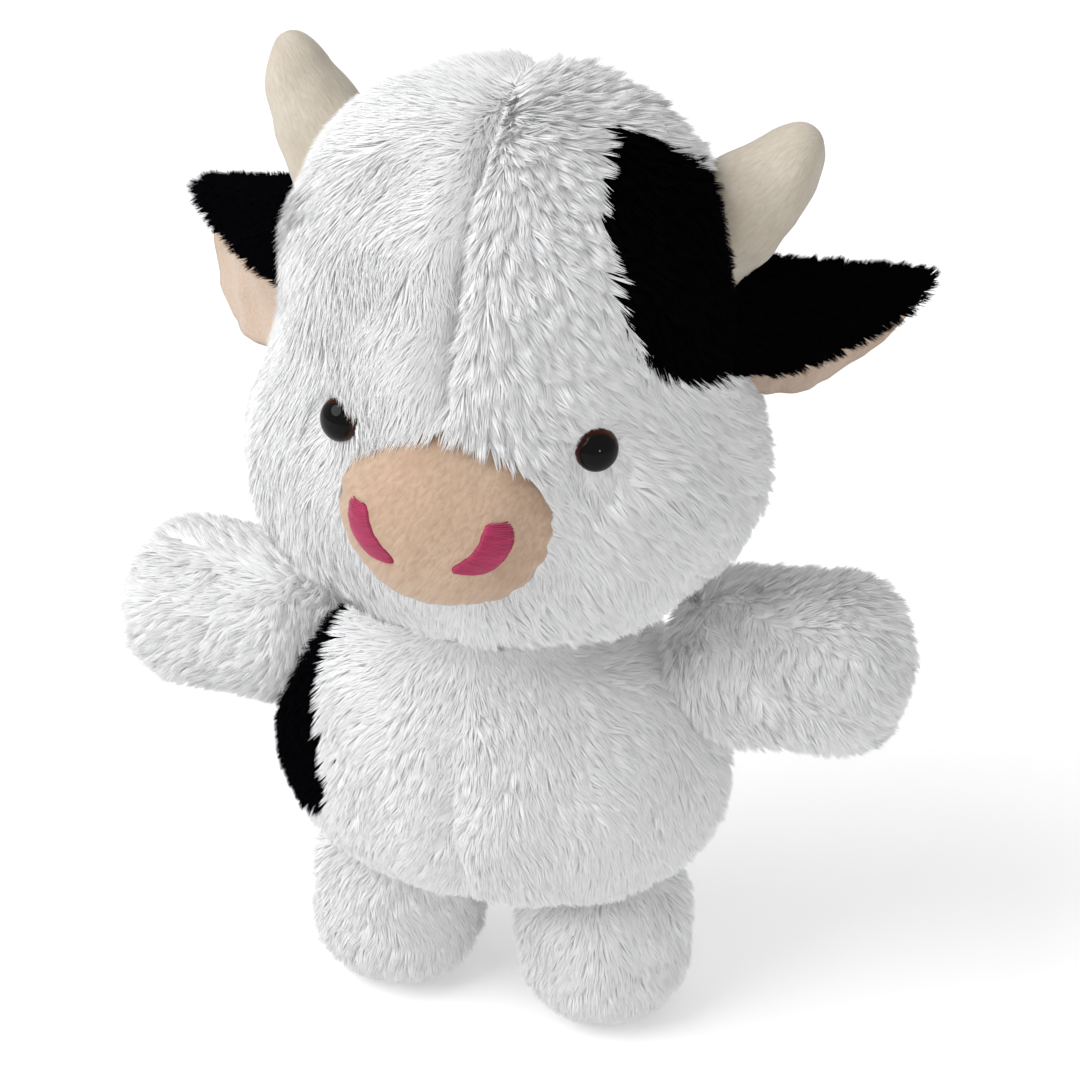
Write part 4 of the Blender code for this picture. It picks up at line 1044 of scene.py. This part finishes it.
def earSheet(side, kind):
    # the two faces of a sheet, which way they face and the run of the cloth
    near, far, start, rows, columns = earSheets[kind]
    outer, facing, run = earGrid(side, near, start, rows, columns)
    return outer, earGrid(side, far, start, rows, columns)[0], facing, run


def leafObject(name, outer, inner, facing, material):
    # closed slab between two open sheets, its rim joined all round
    rows, columns = outer.shape[:2]
    count = rows * columns
    index = np.arange(count).reshape(rows, columns)
    quads = np.stack([index[:-1, :-1], index[:-1, 1:], index[1:, 1:], index[1:, :-1]], -1).reshape(-1, 4)
    rim = np.concatenate([index[0, :-1], index[:-1, -1], index[-1, :0:-1], index[:0:-1, 0]])
    after = np.roll(rim, -1)
    edge = np.stack([rim, after, after + count, rim + count], -1)
    a, b, c = outer[0, 0], outer[0, 1], outer[1, 1]
    if np.dot(np.cross(b - a, c - a), facing[0, 0]) < 0:
        quads = quads[:, ::-1]
    else:
        edge = edge[:, ::-1]
    faces = quads.tolist() + (quads[:, ::-1] + count).tolist() + edge.tolist()
    points = np.concatenate([outer.reshape(-1, 3), inner.reshape(-1, 3)])
    return meshObject(name, moved(points, headPose), faces, material)


def growSheetPile(grid, facing, look, seed, lie):
    # pile over an open sheet, all lying one way
    rng = np.random.default_rng(seed)
    roots, up = scatter(grid, facing, look["count"], seed, even=False)
    lockRoots, lockUp = scatter(grid, facing, look["locks"], seed + 1, even=False)
    lock = nearest(roots, lockRoots)
    lockComb = tangentPart(lie + rng.normal(0, look["lockStray"], lockRoots.shape), lockUp)
    lockLift = rng.normal(0, look["lockLift"], len(lockRoots))
    lockLength = look["length"] * rng.uniform(*look["lockSpread"], len(lockRoots))
    lockTips = strandTips(lockRoots, lockUp, lockComb, lockLength, look["lean"], lockLift)
    comb = lie * 0.5 + lockComb[lock] * 0.5 + rng.normal(0, look["stray"], roots.shape)
    length = look["length"] * rng.uniform(*look["lengthSpread"], len(roots))
    return drawStrands(rng, look, roots, up, tangentPart(comb, up), length, lock, lockTips, lockLift,
                       np.ones(len(roots)))


for side, label in sides:
    body = "ear_" + label.lower()
    outward, forward, upward = earAxes(side)
    outer, inner, facing, run = earSheet(side, "backing")
    cloth = leafObject(f"ear{label}Backing", outer, inner, facing, blackBacking)
    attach(cloth, body)
    strands = growSheetPile(outer, facing, earPile, 60 + side, outward * 0.8 - upward * 0.5)
    placeStrands(strands, headPose)
    item = pileObject(f"ear{label}Pile", strands, np.ones(len(strands["root"]), bool), earPile, blackPile)
    declare(item, body, body + "_outer")
    outer, inner, facing, run = earSheet(side, "lining")
    # creases across the ear that wander, and a finer ruffle
    flat = outer.reshape(-1, 3)
    phase = (flat - flat[0]) @ outward * earLook["creases"] + 2.2 * ripple(flat, 0.02, 31)
    waves = earLook["crease"] * np.sin(phase) + earLook["ruffle"] * ripple(flat, 0.008, 32)
    crumple = (facing.reshape(-1, 3) * waves[:, None]).reshape(outer.shape)
    item = leafObject(f"ear{label}Lining", outer, inner - crumple, facing, peachSatin)
    along = np.broadcast_to(np.linspace(0, 0.05, len(run))[:, None], run.shape)
    pairs = np.stack([run, along], -1).reshape(-1, 2)
    addClothMap(item, np.concatenate([pairs, pairs]))
    declare(item, body, body + "_lining")
print("ears made")


# Body

bodyLook = dict(width=0.139, depth=0.094, bottom=0.044, top=0.136, sideSeam=0.004, seamWidth=0.003,
                taper=0.07, fullness=0.62, neckRadius=0.038, neckZ=0.115, inset=0.0025, swell=0.0009,
                valley=0.0022, valleyWidth=0.0025, valleyFoot=(0.05, 0.07), valleyTop=(0.10, 0.13),
                lump=0.0006, lumpSize=0.028, lumpSeed=41, rows=48, columns=72)
bodyPile = dict(whiteStrands, count=98000, locks=5200, length=0.0052, width=0.00070, lean=60, swirl=24,
                swirlSize=0.03, lockTurn=10, pull=0.42, round=0.35, lockLift=4, away=0.35)
# where the pile is bare or short: radii and heights in metres, and shares of the length
bodyTrim = dict(neckTop=0.150, armBare=0.0175, legBare=0.0225, seamCut=0.3, lowKept=0.65, low=(0.048, 0.060),
                neckCut=0.4, neck=(0.118, 0.138))
bodyOutline = [(-76, 36), (-63, 22), (-54, 8), (-48, -5), (-53, -15), (-70, -20), (-100, -22), (-125, -4),
               (-125, 24), (-100, 38)]
bodyCentre = np.array([0, 0, (bodyLook["top"] + bodyLook["bottom"]) / 2])
armPivots = {1: np.array([0.073, 0.006, 0.126]), -1: np.array([-0.073, 0.006, 0.114])}
legPivots = {side: np.array([side * 0.0335, -0.002, 0.035]) for side in (1, -1)}


def bodySkin(inset):
    # the larger of the swelling body and the round neck top at each height
    look = bodyLook
    low, high = look["bottom"] + inset, look["neckZ"] + look["neckRadius"] - inset
    turns = np.linspace(0, np.pi, look["rows"])
    heights = low + (high - low) * (1 - np.cos(turns)) / 2
    halfHeight = (look["top"] - look["bottom"]) / 2 - inset
    rise = (heights - bodyCentre[2]) / halfHeight
    share = np.sqrt(np.clip(1 - rise * rise, 0, 1)) ** look["fullness"] * (1 - look["taper"] * rise)
    neck = look["neckRadius"] - inset
    above = heights - look["neckZ"]
    roundTop = np.where(above >= 0, np.sqrt(np.clip(neck * neck - above * above, 0, None)), 0)
    wide = np.maximum((look["width"] / 2 - inset) * share, roundTop)
    deep = np.maximum((look["depth"] / 2 - inset) * share, roundTop)
    wide[[0, -1]] = deep[[0, -1]] = 0
    centres = heights[:, None] * axisZ
    return gridFrom(centres, wide, deep, axisX, axisY, look["columns"])


def bodyComb(points):
    # down, and a little round to the back
    around = aroundAxis(np.arctan2(points[:, 0], -points[:, 1]))
    return -axisZ + around * (bodyPile["away"] * np.sign(points[:, 0]))[:, None]


def bodyValley(points):
    # depth of the middle seam on the belly
    look = bodyLook
    span = smoothStep(points[:, 2], *look["valleyFoot"]) * (1 - smoothStep(points[:, 2], *look["valleyTop"]))
    return np.exp(-(points[:, 0] / look["valleyWidth"]) ** 2) * (points[:, 1] < 0) * span


def bodyKeep(points):
    # bare where the neck, arms and legs are
    keep = points[:, 2] < bodyTrim["neckTop"]
    for side in (1, -1):
        keep &= np.linalg.norm(points - armPivots[side], axis=1) > bodyTrim["armBare"]
        keep &= np.linalg.norm(points - legPivots[side], axis=1) > bodyTrim["legBare"]
    return keep


def bodyLength(points):
    # shorter on the seam, between the legs and under the head
    look = bodyTrim
    share = 1 - look["seamCut"] * bodyValley(points)
    share = share * (look["lowKept"] + (1 - look["lowKept"]) * smoothStep(points[:, 2], *look["low"]))
    return share * (1 - look["neckCut"] * smoothStep(points[:, 2], *look["neck"]))


def bodyPatch(points):
    return inPatch(points, bodyLook, bodyCentre, bodyOutline)


bodyGrid = bodySkin(bodyLook["inset"])
bodyHeld = seamsHeld(bodyGrid, bodyLook["sideSeam"], bodyLook["seamWidth"], bodyGrid[..., 1] < 0)
bodyGrid = puffUp(bodyGrid, bodyHeld, bodyLook["swell"])
bodyGrid = shaped(bodyGrid, lambda p: dented(p, bodyLook, bodyValley(p)))
backingObject("bodyBacking", bodyGrid, bodyPose, bodyPatch, "body")
strands = growPile(bodyGrid, bodyPile, 43, bodyComb, bodyLength, bodyKeep)
root = strands["root"]
patch = bodyPatch(root)
front = root[:, 1] < bodyLook["sideSeam"]
left = root[:, 0] > 0
placeStrands(strands, bodyPose)
pilePanels(strands, bodyPile, "body", (
    ("bodyFrontLeftPile", front & left & ~patch, whitePile, "body_front_left_panel"),
    ("bodyFrontRightPile", front & ~left & ~patch, whitePile, "body_front_right_panel"),
    ("bodyBackPile", ~front, whitePile, "body_back_panel"),
    ("bodyBlackPatchPile", patch, blackPile, "body_black_patch")))
print("body pile grown:", len(root))


# Arms and legs

limbLook = dict(swell=0.0009, seamWidth=0.002, heldRows=8, lump=0.0006, lumpSize=0.02, lumpSeed=51, rows=12,
                columns=40, bare=-0.023, outwards=0.9, rootCut=0.15, rootShort=(0.0, 0.016))
armLook = dict(radius=0.026, reach=0.120, tip=0.020, leftRaise=6.0, rightRaise=0.0, inset=0.0032, fall=0.8,
               seed=73)
legLook = dict(radius=0.0265, tip=0.021, inset=0.0026, fall=0.48, seed=79, lowest=0.0006)
armPile = dict(whiteStrands, count=35000, locks=1500, length=0.0064, width=0.00074, lean=57, swirl=30,
               swirlSize=0.024, lockTurn=13, stray=0.13, pull=0.48, round=0.5, lockLift=6, lift=3)
legPile = dict(whiteStrands, count=24000, locks=1150, length=0.0054, width=0.00070, lean=59, swirl=24,
               swirlSize=0.024, lockTurn=10, pull=0.42, round=0.35, lockLift=4)


def limbSkin(look, pivot, along, across, up, length):
    inset = look["inset"]
    return limbGrid(pivot, along, across, up, look["radius"] - inset, length - inset, look["tip"] - inset,
                    limbLook["rows"], limbLook["columns"])


def armSkin(side):
    pivot = armPivots[side]
    lift = math.radians(ofSide(armLook, "Raise", side))
    along = np.array([side * math.cos(lift), 0, math.sin(lift)])
    length = armLook["reach"] - abs(pivot[0])
    return limbSkin(armLook, pivot, along, axisY, np.cross(along, axisY), length), pivot, along


def legSkin(side):
    pivot = legPivots[side]
    return limbSkin(legLook, pivot, -axisZ, axisX, axisY, pivot[2]), pivot, -axisZ


for limb, skin, look, pile in (("arm", armSkin, armLook, armPile), ("leg", legSkin, legLook, legPile)):
    for side, label in sides:
        grid, pivot, along = skin(side)
        # held along the seam at its sides and where it is sewn to the body
        held = np.exp(-((grid[..., 1] - pivot[1]) / limbLook["seamWidth"]) ** 2)
        held[:limbLook["heldRows"]] = 1
        grid = puffUp(grid, held, limbLook["swell"])
        lumpSeed = limbLook["lumpSeed"] + side
        grid = shaped(grid, lambda p: -limbLook["lump"] * ripple(p, limbLook["lumpSize"], lumpSeed))
        body = f"{limb}_{label.lower()}"
        backingObject(f"{limb}{label}Backing", grid, bodyPose, None, body)
        strands = growPile(grid, pile, look["seed"] + side,
                           lambda p: -axisZ * look["fall"] + along * limbLook["outwards"],
                           lambda p: 1 - limbLook["rootCut"] * smoothStep(-(p - pivot) @ along,
                                                                          *limbLook["rootShort"]),
                           lambda p: (p - pivot) @ along > limbLook["bare"])
        front = strands["root"][:, 1] < pivot[1]
        placeStrands(strands, bodyPose)
        if limb == "leg":
            strands["curve"][..., 2] = np.maximum(strands["curve"][..., 2], look["lowest"])
        pilePanels(strands, pile, body, [
            (f"{limb}{label}{half}Pile", chosen, whitePile, f"{body}_{half.lower()}_panel")
            for half, chosen in (("Front", front), ("Back", ~front))])
print("limbs made")


# Fillings and lock washers stay as packed, inside the backings
for node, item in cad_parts.items():
    if "filling" in node:
        item.data.materials.clear()
        item.data.materials.append(fibreFilling)


# Floor and light

floorLook = dict(size=8.0, colour=(0.93, 0.93, 0.93), roughness=0.9, glow=0.30)
lightLook = dict(world=0.60, aim=(0, 0, 0.15), key=dict(place=(-1.1, -1.0, 1.6), size=1.8, energy=32.0),
                 spark=dict(place=(0.95, -0.80, 0.30), size=0.09, energy=1.0))


def buildFloor():
    half = floorLook["size"] / 2
    corners = np.array([[-half, -half, 0], [half, -half, 0], [half, half, 0], [-half, half, 0]])
    material, tree, shader = newMaterial("paleFloor", floorLook["colour"], floorLook["roughness"],
                                         Emission_Color=(*[floorLook["glow"]] * 3, 1.0))
    # the glow shows to the camera only, so it lights nothing
    light = addNode(tree, "ShaderNodeLightPath")
    feed(tree, shader.inputs["Emission Strength"], light.outputs["Is Camera Ray"])
    meshObject("floor", corners, [(0, 1, 2, 3)], material)


def buildWorld():
    # plain white light, and a white studio wall that only the camera sees
    world = bpy.data.worlds.new("studio")
    world.use_nodes = True
    tree = world.node_tree
    sky = tree.nodes["Background"]
    sky.inputs["Color"].default_value = (1, 1, 1, 1)
    sky.inputs["Strength"].default_value = lightLook["world"]
    wall = addNode(tree, "ShaderNodeBackground", {"Color": (1, 1, 1, 1)})
    seen = addNode(tree, "ShaderNodeLightPath").outputs["Is Camera Ray"]
    either = addNode(tree, "ShaderNodeMixShader", {0: seen, 1: sky.outputs[0], 2: wall.outputs[0]})
    feed(tree, tree.nodes["World Output"].inputs["Surface"], either.outputs[0])
    scene.world = world


def addArea(name, place, size, energy):
    lamp = bpy.data.lights.new(name, "AREA")
    lamp.shape = "DISK"
    lamp.size = size
    lamp.energy = energy
    item = bpy.data.objects.new(name, lamp)
    item.location = place
    aim = Vector(lightLook["aim"]) - Vector(place)
    item.rotation_euler = aim.to_track_quat("-Z", "Y").to_euler()
    scene.collection.objects.link(item)


buildFloor()
buildWorld()
for name in ("key", "spark"):
    addArea(name + "Light", **lightLook[name])
scene.view_settings.view_transform = "Standard"
print("floor and light set")
